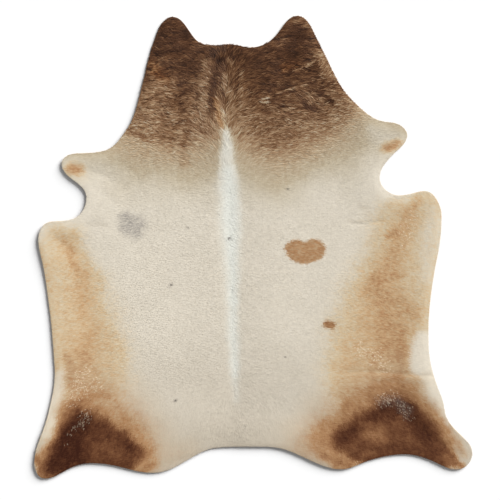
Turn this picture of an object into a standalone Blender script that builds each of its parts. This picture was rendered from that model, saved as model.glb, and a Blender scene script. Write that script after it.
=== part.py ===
"""A whole cowhide laid flat, hair side up: one solid of leather with its lying coat.

Units are metres, +Z is up and the neck end points towards +Y. The underside is flat at
Z = 0. The edge runs smoothly through named landmarks. The top is crowned towards the neck
and the back line, with shallow cockles and the soft troughs that packing folds leave.
"""

import math
from typing import NamedTuple

import bmesh
import bpy
from mathutils import Vector

# Thickness of the leather and its lying coat together
EDGE_THICKNESS = 0.0035
BELLY_RISE = 0.0010
NECK_RISE = 0.0015
BACK_RISE = 0.0008
COCKLE_HEIGHT = 0.0002

# How far each rise spreads
EDGE_BAND = 0.080
NECK_START = 0.25
NECK_FULL = 0.75
BACK_HALF_WIDTH = 0.14
COCKLE_ACROSS = 0.46
COCKLE_ALONG = 0.61

# The back line: its place across the hide at the tail and at the neck
BACK_AT_TAIL = -0.075
BACK_AT_NECK = -0.130

# Fineness of the surface
EDGE_STEP = 0.030
EDGE_TURN = math.radians(12)
RIM_WIDTH = 0.018
GRID_PITCH = 0.080
GRID_SNAP = 0.003

# Finish
COAT_COLOUR = (0.60, 0.51, 0.41, 1.0)
COAT_ROUGHNESS = 0.85


class Landmark(NamedTuple):
    """A place on the edge: where it lies, and the way the edge runs there.

    The edge is followed clockwise as seen from above. The heading is in degrees,
    anticlockwise from +X.
    """

    place: str
    across: float
    along: float
    heading: float


class Crease(NamedTuple):
    """A soft trough across the hide, left by a packing fold."""

    place: str
    across_from: float
    across_to: float
    along: float
    depth: float
    half_width: float


NECK_EDGE = (
    Landmark("left flap, tip", -0.380, 1.093, 0),
    Landmark("left flap, inner slope", -0.308, 1.034, -55),
    Landmark("notch, left corner", -0.247, 0.968, -24),
    Landmark("notch, left floor", -0.176, 0.958, 0),
    Landmark("notch, middle", -0.105, 0.963, -5),
    Landmark("notch, right floor", -0.005, 0.948, 4),
    Landmark("notch, right corner", 0.071, 0.972, 33),
    Landmark("right flap, inner slope", 0.133, 1.036, 55),
    Landmark("right flap, tip", 0.209, 1.098, 0),
    Landmark("right flap, outer slope", 0.272, 1.050, -62),
)

RIGHT_FORE_EDGE = (
    Landmark("neck side", 0.366, 0.860, -64),
    Landmark("neck foot", 0.445, 0.725, -50),
    Landmark("shoulder", 0.546, 0.629, -38),
    Landmark("shank root", 0.632, 0.594, -6),
    Landmark("shank, front corner", 0.706, 0.573, -38),
    Landmark("shank, tip", 0.732, 0.527, -95),
    Landmark("shank, back slope", 0.665, 0.440, -133),
    Landmark("armpit", 0.601, 0.333, -92),
    Landmark("armpit foot", 0.661, 0.251, -22),
)

RIGHT_FLANK_EDGE = (
    Landmark("elbow, dip", 0.737, 0.250, 10),
    Landmark("elbow, top", 0.815, 0.266, 0),
    Landmark("elbow, corner", 0.870, 0.228, -58),
    Landmark("flank, upper", 0.895, 0.147, -90),
    Landmark("flank, middle", 0.874, -0.052, -102),
    Landmark("flank, lower", 0.837, -0.299, -95),
    Landmark("stifle", 0.834, -0.480, -88),
    Landmark("stifle foot", 0.877, -0.670, -70),
    Landmark("hock", 0.904, -0.746, -80),
)

RIGHT_HIND_EDGE = (
    Landmark("shank root", 0.922, -0.817, -62),
    Landmark("shank, outer slope", 0.977, -0.884, -45),
    Landmark("shank, tip", 1.041, -0.979, -92),
    Landmark("shank, under corner", 0.969, -1.056, -178),
    Landmark("shank, inner slope", 0.891, -1.034, -206),
)

RUMP_EDGE = (
    Landmark("right hollow", 0.718, -0.984, -180),
    Landmark("right swell, outer slope", 0.546, -1.015, -162),
    Landmark("right swell", 0.418, -1.055, -180),
    Landmark("right swell, inner slope", 0.271, -1.012, -205),
    Landmark("tail, right corner", 0.152, -0.961, -198),
    Landmark("tail, middle", 0.014, -0.947, -180),
    Landmark("tail, left corner", -0.176, -0.953, -174),
    Landmark("left swell, inner slope", -0.299, -1.003, -150),
    Landmark("left swell", -0.475, -1.072, -180),
    Landmark("left swell, outer slope", -0.623, -1.046, -195),
    Landmark("left hollow", -0.770, -1.026, -180),
)

LEFT_HIND_EDGE = (
    Landmark("shank, inner slope", -0.879, -1.055, -153),
    Landmark("shank, under corner", -0.988, -1.099, -182),
    Landmark("shank, tip", -1.038, -1.017, -272),
    Landmark("shank root", -0.997, -0.870, -291),
    Landmark("stifle foot", -0.954, -0.713, -282),
)

LEFT_FLANK_EDGE = (
    Landmark("stifle", -0.942, -0.565, -266),
    Landmark("flank, lower", -0.969, -0.271, -262),
    Landmark("flank, upper", -1.003, -0.057, -257),
    Landmark("elbow, corner", -1.019, 0.033, -270),
    Landmark("elbow, top", -0.965, 0.119, -348),
    Landmark("elbow foot", -0.855, 0.133, -340),
)

LEFT_FORE_EDGE = (
    Landmark("armpit", -0.791, 0.238, -268),
    Landmark("shank, back slope", -0.853, 0.318, -217),
    Landmark("shank, tip", -0.908, 0.394, -270),
    Landmark("shank, front corner", -0.841, 0.444, -356),
    Landmark("shank root", -0.699, 0.459, -342),
    Landmark("shoulder", -0.600, 0.556, -306),
    Landmark("neck foot", -0.539, 0.713, -284),
    Landmark("neck side", -0.508, 0.841, -282),
    Landmark("left flap, outer slope", -0.456, 1.015, -291),
)

HIDE_EDGE = (
    NECK_EDGE
    + RIGHT_FORE_EDGE
    + RIGHT_FLANK_EDGE
    + RIGHT_HIND_EDGE
    + RUMP_EDGE
    + LEFT_HIND_EDGE
    + LEFT_FLANK_EDGE
    + LEFT_FORE_EDGE
)

CREASES = (
    Crease("left shoulder fold", -0.86, -0.60, 0.105, 0.0006, 0.030),
    Crease("right shoulder fold", 0.47, 0.71, 0.122, 0.0006, 0.030),
    Crease("right stifle fold", 0.42, 0.88, -0.602, 0.0006, 0.030),
)


def clear_scene() -> None:
    """Removes every object, so that the scene holds only the hide."""
    for old in list(bpy.data.objects):
        bpy.data.objects.remove(old, do_unlink=True)


def smooth_rise(value: float) -> float:
    """Eases from 0 to 1 as the value goes from 0 to 1, and stays level outside."""
    t = min(max(value, 0.0), 1.0)
    return t * t * (3.0 - 2.0 * t)


def edge_stretch(start: Landmark, end: Landmark) -> list[Vector]:
    """Points of the edge from one landmark up to the next, without the next one.

    The stretch is a cubic curve that leaves and arrives along the two headings. Its pull
    makes it near to a round arc, however far it turns.
    """
    a = Vector((start.across, start.along))
    b = Vector((end.across, end.along))
    turn = math.remainder(math.radians(end.heading - start.heading), math.tau)
    pull = (b - a).length / math.cos(turn / 4) ** 2
    leave, arrive = (
        pull * Vector((math.cos(math.radians(mark.heading)), math.sin(math.radians(mark.heading))))
        for mark in (start, end)
    )
    steps = math.ceil(max(pull / EDGE_STEP, abs(turn) / EDGE_TURN))
    points = []
    for step in range(steps):
        t = step / steps
        points.append(
            a * (2 * t**3 - 3 * t**2 + 1)
            + leave * (t**3 - 2 * t**2 + t)
            + b * (3 * t**2 - 2 * t**3)
            + arrive * (t**3 - t**2)
        )
    return points


def hide_edge() -> list[Vector]:
    """The whole edge as a closed loop of points, with its box centred on the origin."""
    loop = []
    for start, end in zip(HIDE_EDGE, HIDE_EDGE[1:] + HIDE_EDGE[:1]):
        loop += edge_stretch(start, end)
    across = [point.x for point in loop]
    along = [point.y for point in loop]
    middle = Vector(((min(across) + max(across)) / 2, (min(along) + max(along)) / 2))
    return [point - middle for point in loop]


def distance_to_edge(place: Vector, edge: list[Vector]) -> float:
    """The shortest way from a place on the hide to its edge."""
    nearest = math.inf
    for start, end in zip(edge, edge[1:] + edge[:1]):
        run = end - start
        share = min(max((place - start).dot(run) / run.length_squared, 0.0), 1.0)
        nearest = min(nearest, (start + run * share - place).length)
    return nearest


def crease_depth(place: Vector) -> float:
    """How far the packing folds lower the surface at a place."""
    depth = 0.0
    for crease in CREASES:
        past = max(crease.across_from - place.x, place.x - crease.across_to, 0.0)
        off = math.hypot(past, place.y - crease.along) / crease.half_width
        depth += crease.depth * math.exp(-off * off)
    return depth


def surface_height(place: Vector, edge: list[Vector]) -> float:
    """Height of the coat over the flat underside at a place."""
    inward = smooth_rise(distance_to_edge(place, edge) / EDGE_BAND)
    neck = smooth_rise((place.y - NECK_START) / (NECK_FULL - NECK_START))
    tail_to_neck = (place.y / max(point.y for point in edge) + 1) / 2
    back = BACK_AT_TAIL + (BACK_AT_NECK - BACK_AT_TAIL) * tail_to_neck
    ridge = math.exp(-(((place.x - back) / BACK_HALF_WIDTH) ** 2))
    cockle = math.sin(math.tau * place.x / COCKLE_ACROSS) * math.cos(math.tau * place.y / COCKLE_ALONG)
    rise = BELLY_RISE + NECK_RISE * neck + BACK_RISE * ridge + COCKLE_HEIGHT * cockle
    return EDGE_THICKNESS + inward * (rise - crease_depth(place))


def grid_places(reach: float, extra: list[float]) -> list[float]:
    """Places of the cuts across one direction: an even grid, and the extra places."""
    count = math.floor(reach / GRID_PITCH)
    even = [index * GRID_PITCH for index in range(-count, count + 1)]
    kept = [place for place in even if all(abs(place - other) > GRID_PITCH / 3 for other in extra)]
    return sorted(kept + extra)


def top_geometry(mesh: bmesh.types.BMesh) -> list:
    """The faces that look up, with their edges and corners."""
    faces = [face for face in mesh.faces if face.normal.z > 0.5]
    edges = {line for face in faces for line in face.edges}
    corners = {corner for face in faces for corner in face.verts}
    return [*corners, *edges, *faces]


def cut_top(mesh: bmesh.types.BMesh, edge: list[Vector]) -> None:
    """Cuts the top into a grid, with closer cuts along the packing folds."""
    crease_rows = [
        crease.along + side * crease.half_width for crease in CREASES for side in (-1, 0, 1)
    ]
    rows = []
    for row in sorted(crease_rows):
        if not rows or row - rows[-1] > GRID_PITCH / 6:
            rows.append(row)
    cuts = [(Vector((x, 0, 0)), Vector((1, 0, 0))) for x in grid_places(max(p.x for p in edge), [])]
    cuts += [(Vector((0, y, 0)), Vector((0, 1, 0))) for y in grid_places(max(p.y for p in edge), rows)]
    for place, normal in cuts:
        bmesh.ops.bisect_plane(
            mesh, geom=top_geometry(mesh), dist=GRID_SNAP, plane_co=place, plane_no=normal
        )


def coat_material() -> bpy.types.Material:
    """The hide's plain finish."""
    material = bpy.data.materials.new("coat")
    material.use_nodes = True
    shader = material.node_tree.nodes["Principled BSDF"]
    shader.inputs["Base Color"].default_value = COAT_COLOUR
    shader.inputs["Roughness"].default_value = COAT_ROUGHNESS
    shader.inputs["Metallic"].default_value = 0.0
    return material


def build_hide() -> bpy.types.Object:
    """The hide: its edge drawn at Z = 0, raised to a sheet, cut into a grid and crowned."""
    edge = hide_edge()
    mesh = bmesh.new()
    corners = [mesh.verts.new((point.x, point.y, 0.0)) for point in reversed(edge)]
    top = mesh.faces.new(corners)
    mesh.normal_update()
    raised = bmesh.ops.extrude_face_region(mesh, geom=[top], use_keep_orig=True)["geom"]
    for item in raised:
        if isinstance(item, bmesh.types.BMVert):
            item.co.z = EDGE_THICKNESS
    bmesh.ops.recalc_face_normals(mesh, faces=mesh.faces)
    mesh.normal_update()
    lid = [face for face in mesh.faces if face.normal.z > 0.5]
    bmesh.ops.inset_region(mesh, faces=lid, thickness=RIM_WIDTH, use_even_offset=True)
    mesh.normal_update()
    cut_top(mesh, edge)
    bmesh.ops.triangulate(mesh, faces=mesh.faces, quad_method="BEAUTY", ngon_method="BEAUTY")
    for corner in mesh.verts:
        if corner.co.z > EDGE_THICKNESS / 2:
            corner.co.z = surface_height(corner.co.xy, edge)
    bmesh.ops.recalc_face_normals(mesh, faces=mesh.faces)

    data = bpy.data.meshes.new("cowhide")
    mesh.to_mesh(data)
    mesh.free()
    data.shade_smooth()
    data.set_sharp_from_angle(angle=math.radians(40))
    data.materials.append(coat_material())
    hide = bpy.data.objects.new("cowhide", data)
    bpy.context.scene.collection.objects.link(hide)
    return hide


def main() -> None:
    """Builds the hide in an empty scene."""
    clear_scene()
    build_hide()


main()
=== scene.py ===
"""Looks of a whole hair-on cowhide that lies flat as a rug.

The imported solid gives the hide's edge and heights. A sheet of leather follows them, suede below,
with its cut edge rounded and lifted a little off the floor here and there. The coat lies on it in
tufts that follow the way the hair grows: out from the back, up beside the crest of the neck and
down over the rump. Its markings are painted in metres over the hide as a few fields, which every
tuft reads near its own middle.
"""

import logging
import math
from dataclasses import dataclass, field
from enum import Enum, IntEnum
from typing import NamedTuple

import bmesh
import bpy
import numpy as np
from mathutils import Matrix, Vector

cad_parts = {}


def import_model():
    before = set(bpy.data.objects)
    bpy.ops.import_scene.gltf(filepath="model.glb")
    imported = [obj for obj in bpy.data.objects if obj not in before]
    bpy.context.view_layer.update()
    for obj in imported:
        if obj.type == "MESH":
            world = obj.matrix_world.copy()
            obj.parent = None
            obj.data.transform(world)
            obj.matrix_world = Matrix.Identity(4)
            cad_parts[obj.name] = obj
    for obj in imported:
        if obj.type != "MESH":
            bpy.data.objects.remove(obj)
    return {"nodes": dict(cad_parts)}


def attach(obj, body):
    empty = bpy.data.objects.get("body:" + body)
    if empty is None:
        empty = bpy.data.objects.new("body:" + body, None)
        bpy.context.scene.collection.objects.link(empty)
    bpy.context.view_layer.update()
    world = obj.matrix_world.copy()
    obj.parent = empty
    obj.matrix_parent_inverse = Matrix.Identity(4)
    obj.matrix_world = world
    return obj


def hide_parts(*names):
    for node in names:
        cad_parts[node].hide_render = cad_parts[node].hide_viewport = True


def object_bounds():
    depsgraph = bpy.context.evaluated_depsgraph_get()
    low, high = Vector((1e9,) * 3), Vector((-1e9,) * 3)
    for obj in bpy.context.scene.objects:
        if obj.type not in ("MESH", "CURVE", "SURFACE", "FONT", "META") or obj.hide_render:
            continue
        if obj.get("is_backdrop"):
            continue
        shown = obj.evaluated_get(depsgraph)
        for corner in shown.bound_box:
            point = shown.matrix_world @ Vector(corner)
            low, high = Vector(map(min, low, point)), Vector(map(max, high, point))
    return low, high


log = logging.getLogger("cowhide")

Colour = tuple[float, float, float]
SEED = 2011
# Keeps a place short of the distance grid's last line, so that there is a cell beyond it.
JUST_INSIDE = 1.001


def dye(red: int, green: int, blue: int) -> Colour:
    """A hair or leather colour as the eye names it, 0 to 255, in linear light.

    Args:
        red: Red part.
        green: Green part.
        blue: Blue part.

    Returns:
        The colour's three linear parts.
    """
    parts = (value / 255 for value in (red, green, blue))
    return tuple(v / 12.92 if v <= 0.04045 else ((v + 0.055) / 1.055) ** 2.4 for v in parts)


def ease(value: np.ndarray) -> np.ndarray:
    """Eases from 0 to 1 as the value goes from 0 to 1, and stays level outside."""
    t = np.clip(value, 0.0, 1.0)
    return t * t * (3.0 - 2.0 * t)


# ---------------------------------------------------------------- where things lie on the hide


class Field(Enum):
    """The coat's painted fields, each a number at every place of the hide."""

    NECK = "neck"
    FLANK = "flank"
    RUMP = "rump"
    CREAM = "cream"
    CHALK = "chalk"
    FLECK = "fleck"
    TAN = "tan"
    ROAN = "roan"
    # Darker towards the tail, and painted shade in the folds, the left armpit and by the rump's edge.
    GREY_AND_SHADE = "grey_and_shade"


class Stroke(NamedTuple):
    """One soft brush stroke: it draws a field towards a value along a chain of round dabs.

    A dab is (across, along, radius) in metres, and fade is the width of the stroke's soft rim.
    Pull is how far the hair drags the stroke's rim about, as a share of the usual.
    """

    place: str
    field: Field
    value: float
    fade: float
    dabs: tuple[tuple[float, float, float], ...]
    pull: float = 1.0


class NeckRow(NamedTuple):
    """How far tailwards the neck's brown and its taupe shadow reach at a place across.

    The brown ends within fade, and the taupe dies out slowly.
    """

    place: str
    across: float
    brown_until: float
    taupe_until: float
    fade: float


class Whorl(NamedTuple):
    """A place where the hair turns aside, by an angle in its middle, within a radius in metres."""

    place: str
    across: float
    along: float
    radius: float
    turn: float


class BackPoint(NamedTuple):
    """A point of the back line, where the hair parts."""

    place: str
    along: float
    across: float


BACK_LINE = (
    BackPoint("tail", -1.10, -0.075),
    BackPoint("rump", -0.632, -0.087),
    BackPoint("loin", -0.441, -0.0965),
    BackPoint("ribs", -0.156, -0.101),
    BackPoint("scar", 0.034, -0.108),
    BackPoint("withers", 0.224, -0.110),
    BackPoint("crest foot", 0.461, -0.1225),
    BackPoint("stripe head", 0.556, -0.127),
    BackPoint("crest", 0.652, -0.137),
    BackPoint("crest middle", 0.747, -0.126),
    BackPoint("whorl", 0.889, -0.128),
    BackPoint("poll", 1.10, -0.130),
)

WHORLS = (
    Whorl("poll", -0.150, 0.885, 0.032, -1.0),
    Whorl("poll's right", -0.095, 0.880, 0.030, 0.7),
    Whorl("right curls", 0.330, 0.870, 0.060, 0.8),
    Whorl("right stifle", 0.600, -0.265, 0.055, -0.9),
    Whorl("left elbow", -0.865, -0.020, 0.050, 0.9),
    Whorl("right jaw", 0.250, 0.700, 0.060, -0.7),
    Whorl("right elbow", 0.700, 0.090, 0.060, -0.9),
)

NECK_ROWS = (
    NeckRow("left fore shank", -0.75, 0.600, 0.250, 0.04),
    NeckRow("left armpit", -0.60, 0.540, 0.150, 0.02),
    NeckRow("left throat", -0.54, 0.500, 0.150, 0.02),
    NeckRow("left cheek", -0.47, 0.500, 0.165, 0.05),
    NeckRow("left neck", -0.35, 0.472, 0.125, 0.09),
    NeckRow("left crest", -0.23, 0.505, 0.135, 0.10),
    NeckRow("back", -0.13, 0.530, 0.150, 0.10),
    NeckRow("right crest", -0.06, 0.512, 0.150, 0.10),
    NeckRow("right neck", 0.03, 0.458, 0.125, 0.12),
    NeckRow("right band", 0.12, 0.436, 0.100, 0.12),
    NeckRow("right cheek", 0.22, 0.460, 0.150, 0.12),
    NeckRow("right throat", 0.31, 0.505, 0.220, 0.12),
    NeckRow("right jaw", 0.39, 0.562, 0.212, 0.12),
    NeckRow("right shoulder", 0.45, 0.608, 0.188, 0.11),
    NeckRow("right armpit", 0.50, 0.660, 0.205, 0.09),
    NeckRow("right fore shank", 0.60, 0.740, 0.300, 0.07),
)

NECK_STROKES = (
    Stroke("left flap", Field.NECK, 0.82, 0.080, (
        (-0.42, 1.03, 0.048), (-0.37, 1.01, 0.057), (-0.35, 0.945, 0.043),
    )),
    Stroke("left cheek", Field.NECK, 0.48, 0.070, (
        (-0.485, 0.74, 0.022), (-0.42, 0.765, 0.028), (-0.395, 0.72, 0.016),
    )),
    Stroke("below the cheek", Field.NECK, 0.50, 0.070, ((-0.47, 0.64, 0.028), (-0.39, 0.62, 0.028))),
    Stroke("left temple", Field.NECK, 0.50, 0.060, (
        (-0.485, 0.830, 0.016), (-0.460, 0.855, 0.022), (-0.435, 0.885, 0.008),
    )),
    Stroke("left temple's gold", Field.TAN, 0.60, 0.070, (
        (-0.478, 0.868, 0.014), (-0.455, 0.840, 0.024), (-0.420, 0.808, 0.014),
    )),
    # Painted shade in the left jaw's crease.
    Stroke("left jaw crease", Field.NECK, 0.86, 0.009, (
        (-0.452, 0.733, 0.001), (-0.42, 0.726, 0.003), (-0.385, 0.713, 0.001),
    )),
    Stroke("dark of the left neck", Field.NECK, 0.76, 0.085, (
        (-0.36, 0.87, 0.034), (-0.335, 0.80, 0.024), (-0.335, 0.76, 0.014),
    )),
    Stroke("left dark column", Field.NECK, 0.72, 0.050, (
        (-0.335, 0.77, 0.018), (-0.337, 0.70, 0.016), (-0.333, 0.65, 0.010),
    )),
    Stroke("left brow line", Field.NECK, 0.88, 0.014, (
        (-0.33, 0.83, 0.003), (-0.28, 0.825, 0.004), (-0.235, 0.825, 0.003),
    )),
    Stroke("light band", Field.NECK, 0.45, 0.034, (
        (-0.235, 0.885, 0.008), (-0.235, 0.775, 0.015), (-0.243, 0.68, 0.015), (-0.25, 0.585, 0.014),
    )),
    Stroke("second light band", Field.NECK, 0.52, 0.028, (
        (-0.21, 0.89, 0.005), (-0.215, 0.805, 0.008), (-0.215, 0.70, 0.008),
    )),
    Stroke("dark band by the crest", Field.NECK, 0.80, 0.030, (
        (-0.183, 0.85, 0.012), (-0.182, 0.775, 0.017), (-0.190, 0.70, 0.014), (-0.196, 0.64, 0.008),
    )),
    Stroke("grey of the crest", Field.NECK, 0.41, 0.028, (
        (-0.13, 0.825, 0.009), (-0.125, 0.775, 0.014), (-0.12, 0.725, 0.015),
    )),
    Stroke("dun of the crest", Field.NECK, 0.45, 0.030, (
        (-0.11, 0.725, 0.013), (-0.105, 0.66, 0.014), (-0.10, 0.60, 0.012),
    )),
    Stroke("gold of the crest", Field.NECK, 0.30, 0.030, (
        (-0.172, 0.71, 0.006), (-0.16, 0.67, 0.010), (-0.145, 0.635, 0.016), (-0.135, 0.60, 0.021),
        (-0.13, 0.57, 0.022),
    )),
    Stroke("its warmth", Field.TAN, 0.60, 0.034, (
        (-0.174, 0.70, 0.005), (-0.168, 0.655, 0.009), (-0.158, 0.615, 0.010), (-0.148, 0.585, 0.007),
    )),
    Stroke("whorl", Field.NECK, 1.0, 0.020, ((-0.165, 0.88, 0.011), (-0.15, 0.89, 0.009))),
    Stroke("whorl's far side", Field.NECK, 0.92, 0.020, (
        (-0.115, 0.915, 0.009), (-0.105, 0.90, 0.006),
    )),
    Stroke("whorl's light hairs", Field.NECK, 0.44, 0.016, (
        (-0.125, 0.895, 0.005), (-0.11, 0.87, 0.005),
    )),
    Stroke("parting", Field.NECK, 0.36, 0.012, ((-0.058, 0.845, 0.004), (-0.058, 0.665, 0.004))),
    Stroke("right flap", Field.NECK, 0.84, 0.080, (
        (0.21, 1.01, 0.033), (0.175, 0.98, 0.036), (0.175, 0.925, 0.033),
    )),
    Stroke("right flap's edge", Field.NECK, 0.62, 0.038, ((0.125, 0.94, 0.008), (0.135, 0.98, 0.010))),
    Stroke("right flap's tip", Field.NECK, 0.60, 0.060, (
        (0.195, 1.070, 0.012), (0.25, 1.055, 0.016), (0.285, 1.015, 0.010),
    )),
    Stroke("dark of the right neck", Field.NECK, 0.79, 0.065, (
        (0.02, 0.89, 0.038), (0.115, 0.90, 0.038), (0.155, 0.83, 0.028),
    )),
    Stroke("dark above the crease", Field.NECK, 0.78, 0.048, (
        (0.00, 0.80, 0.019), (0.06, 0.785, 0.022), (0.13, 0.80, 0.022), (0.205, 0.805, 0.014),
    )),
    Stroke("right red-brown", Field.NECK, 0.72, 0.038, ((0.145, 0.855, 0.014), (0.20, 0.86, 0.012))),
    Stroke("its glow", Field.TAN, 0.45, 0.060, ((0.145, 0.855, 0.018), (0.20, 0.862, 0.016))),
    Stroke("right curls", Field.NECK, 0.45, 0.045, (
        (0.30, 0.93, 0.012), (0.338, 0.87, 0.028), (0.358, 0.82, 0.025),
    )),
    Stroke("curl's line", Field.NECK, 0.38, 0.013, (
        (0.19, 0.835, 0.003), (0.24, 0.85, 0.004), (0.29, 0.88, 0.004),
    )),
    Stroke("crease, upper shade", Field.NECK, 0.90, 0.014, (
        (0.115, 0.745, 0.003), (0.165, 0.760, 0.004), (0.215, 0.776, 0.002),
    )),
    Stroke("crease", Field.NECK, 0.34, 0.010, (
        (0.108, 0.731, 0.0014), (0.165, 0.747, 0.0024), (0.255, 0.773, 0.0016),
    )),
    Stroke("crease, lower shade", Field.NECK, 0.88, 0.014, (
        (0.095, 0.714, 0.003), (0.14, 0.726, 0.004), (0.19, 0.740, 0.002),
    )),
    Stroke("lower crease", Field.NECK, 0.36, 0.010, (
        (0.125, 0.645, 0.002), (0.17, 0.656, 0.003), (0.215, 0.667, 0.002),
    )),
    Stroke("its shade", Field.NECK, 0.72, 0.014, ((0.125, 0.634, 0.002), (0.17, 0.643, 0.003))),
    Stroke("right blotch", Field.NECK, 0.90, 0.028, (
        (0.305, 0.735, 0.004), (0.340, 0.715, 0.008), (0.370, 0.690, 0.008), (0.392, 0.665, 0.003),
    )),
    Stroke("second blotch", Field.NECK, 0.86, 0.036, (
        (0.240, 0.700, 0.008), (0.250, 0.670, 0.014), (0.285, 0.665, 0.014),
    )),
    Stroke("third blotch", Field.NECK, 0.72, 0.028, ((0.20, 0.70, 0.008), (0.235, 0.665, 0.006))),
    Stroke("left column", Field.NECK, 0.54, 0.044, (
        (-0.32, 0.585, 0.012), (-0.325, 0.52, 0.012), (-0.33, 0.475, 0.010),
    )),
    Stroke("its foot", Field.NECK, 0.34, 0.050, ((-0.33, 0.46, 0.012), (-0.335, 0.395, 0.008))),
    Stroke("right column", Field.NECK, 0.56, 0.044, (
        (0.105, 0.64, 0.012), (0.105, 0.565, 0.012), (0.100, 0.50, 0.010), (0.098, 0.46, 0.006),
    )),
    Stroke("left brown rim", Field.NECK, 0.52, 0.028, (
        (-0.585, 0.55, 0.011), (-0.53, 0.52, 0.012), (-0.495, 0.505, 0.006),
    )),
    Stroke("right fore shank's light", Field.NECK, 0.05, 0.10, (
        (0.57, 0.555, 0.020), (0.63, 0.520, 0.036), (0.69, 0.500, 0.036),
    )),
    Stroke("right fore spot's bed", Field.NECK, 0.0, 0.06, (
        (0.640, 0.484, 0.028), (0.680, 0.497, 0.024),
    )),
    Stroke("left fore spot's bed", Field.NECK, 0.0, 0.07, (
        (-0.880, 0.390, 0.034), (-0.830, 0.375, 0.032),
    )),
    Stroke("lock of light hairs", Field.NECK, 0.0, 0.009, (
        (0.042, 0.705, 0.0034), (0.069, 0.711, 0.0030),
    )),
    Stroke("lower lock", Field.NECK, 0.0, 0.009, ((0.038, 0.692, 0.0036), (0.062, 0.688, 0.0036))),
)

BACK_STROKES = (
    Stroke("stripe's bed", Field.NECK, 0.0, 0.042, (
        (-0.133, 0.580, 0.004), (-0.131, 0.550, 0.020), (-0.130, 0.51, 0.029), (-0.127, 0.455, 0.034),
        (-0.117, 0.34, 0.042), (-0.110, 0.20, 0.052),
    )),
    Stroke("glow beside the stripe", Field.CREAM, 0.60, 0.12, (
        (-0.118, 0.36, 0.038), (-0.114, 0.14, 0.056), (-0.106, -0.10, 0.040), (-0.102, -0.25, 0.026),
        (-0.098, -0.45, 0.020),
    ), 0.5),
    Stroke("stripe's haze", Field.CHALK, 0.42, 0.080, (
        (-0.124, 0.43, 0.026), (-0.116, 0.31, 0.046), (-0.112, 0.14, 0.056), (-0.105, -0.08, 0.036),
        (-0.102, -0.25, 0.024), (-0.098, -0.45, 0.020),
    ), 0.5),
    Stroke("stripe's head", Field.CHALK, 0.55, 0.054, (
        (-0.130, 0.545, 0.008), (-0.129, 0.50, 0.018), (-0.125, 0.43, 0.026),
    ), 0.5),
    Stroke("stripe's tip", Field.CHALK, 0.50, 0.050, (
        (-0.090, -0.56, 0.018), (-0.086, -0.64, 0.015), (-0.080, -0.73, 0.008),
    ), 0.3),
    Stroke("stripe's end", Field.CHALK, 0.90, 0.052, (
        (-0.097, -0.25, 0.021), (-0.093, -0.44, 0.022), (-0.091, -0.54, 0.020), (-0.087, -0.61, 0.012),
    ), 0.3),
    Stroke("stripe", Field.CHALK, 1.0, 0.062, (
        (-0.120, 0.36, 0.028), (-0.112, 0.28, 0.036), (-0.107, 0.14, 0.042), (-0.104, 0.05, 0.035),
        (-0.101, -0.06, 0.027), (-0.097, -0.25, 0.022),
    ), 0.3),
)

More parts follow.
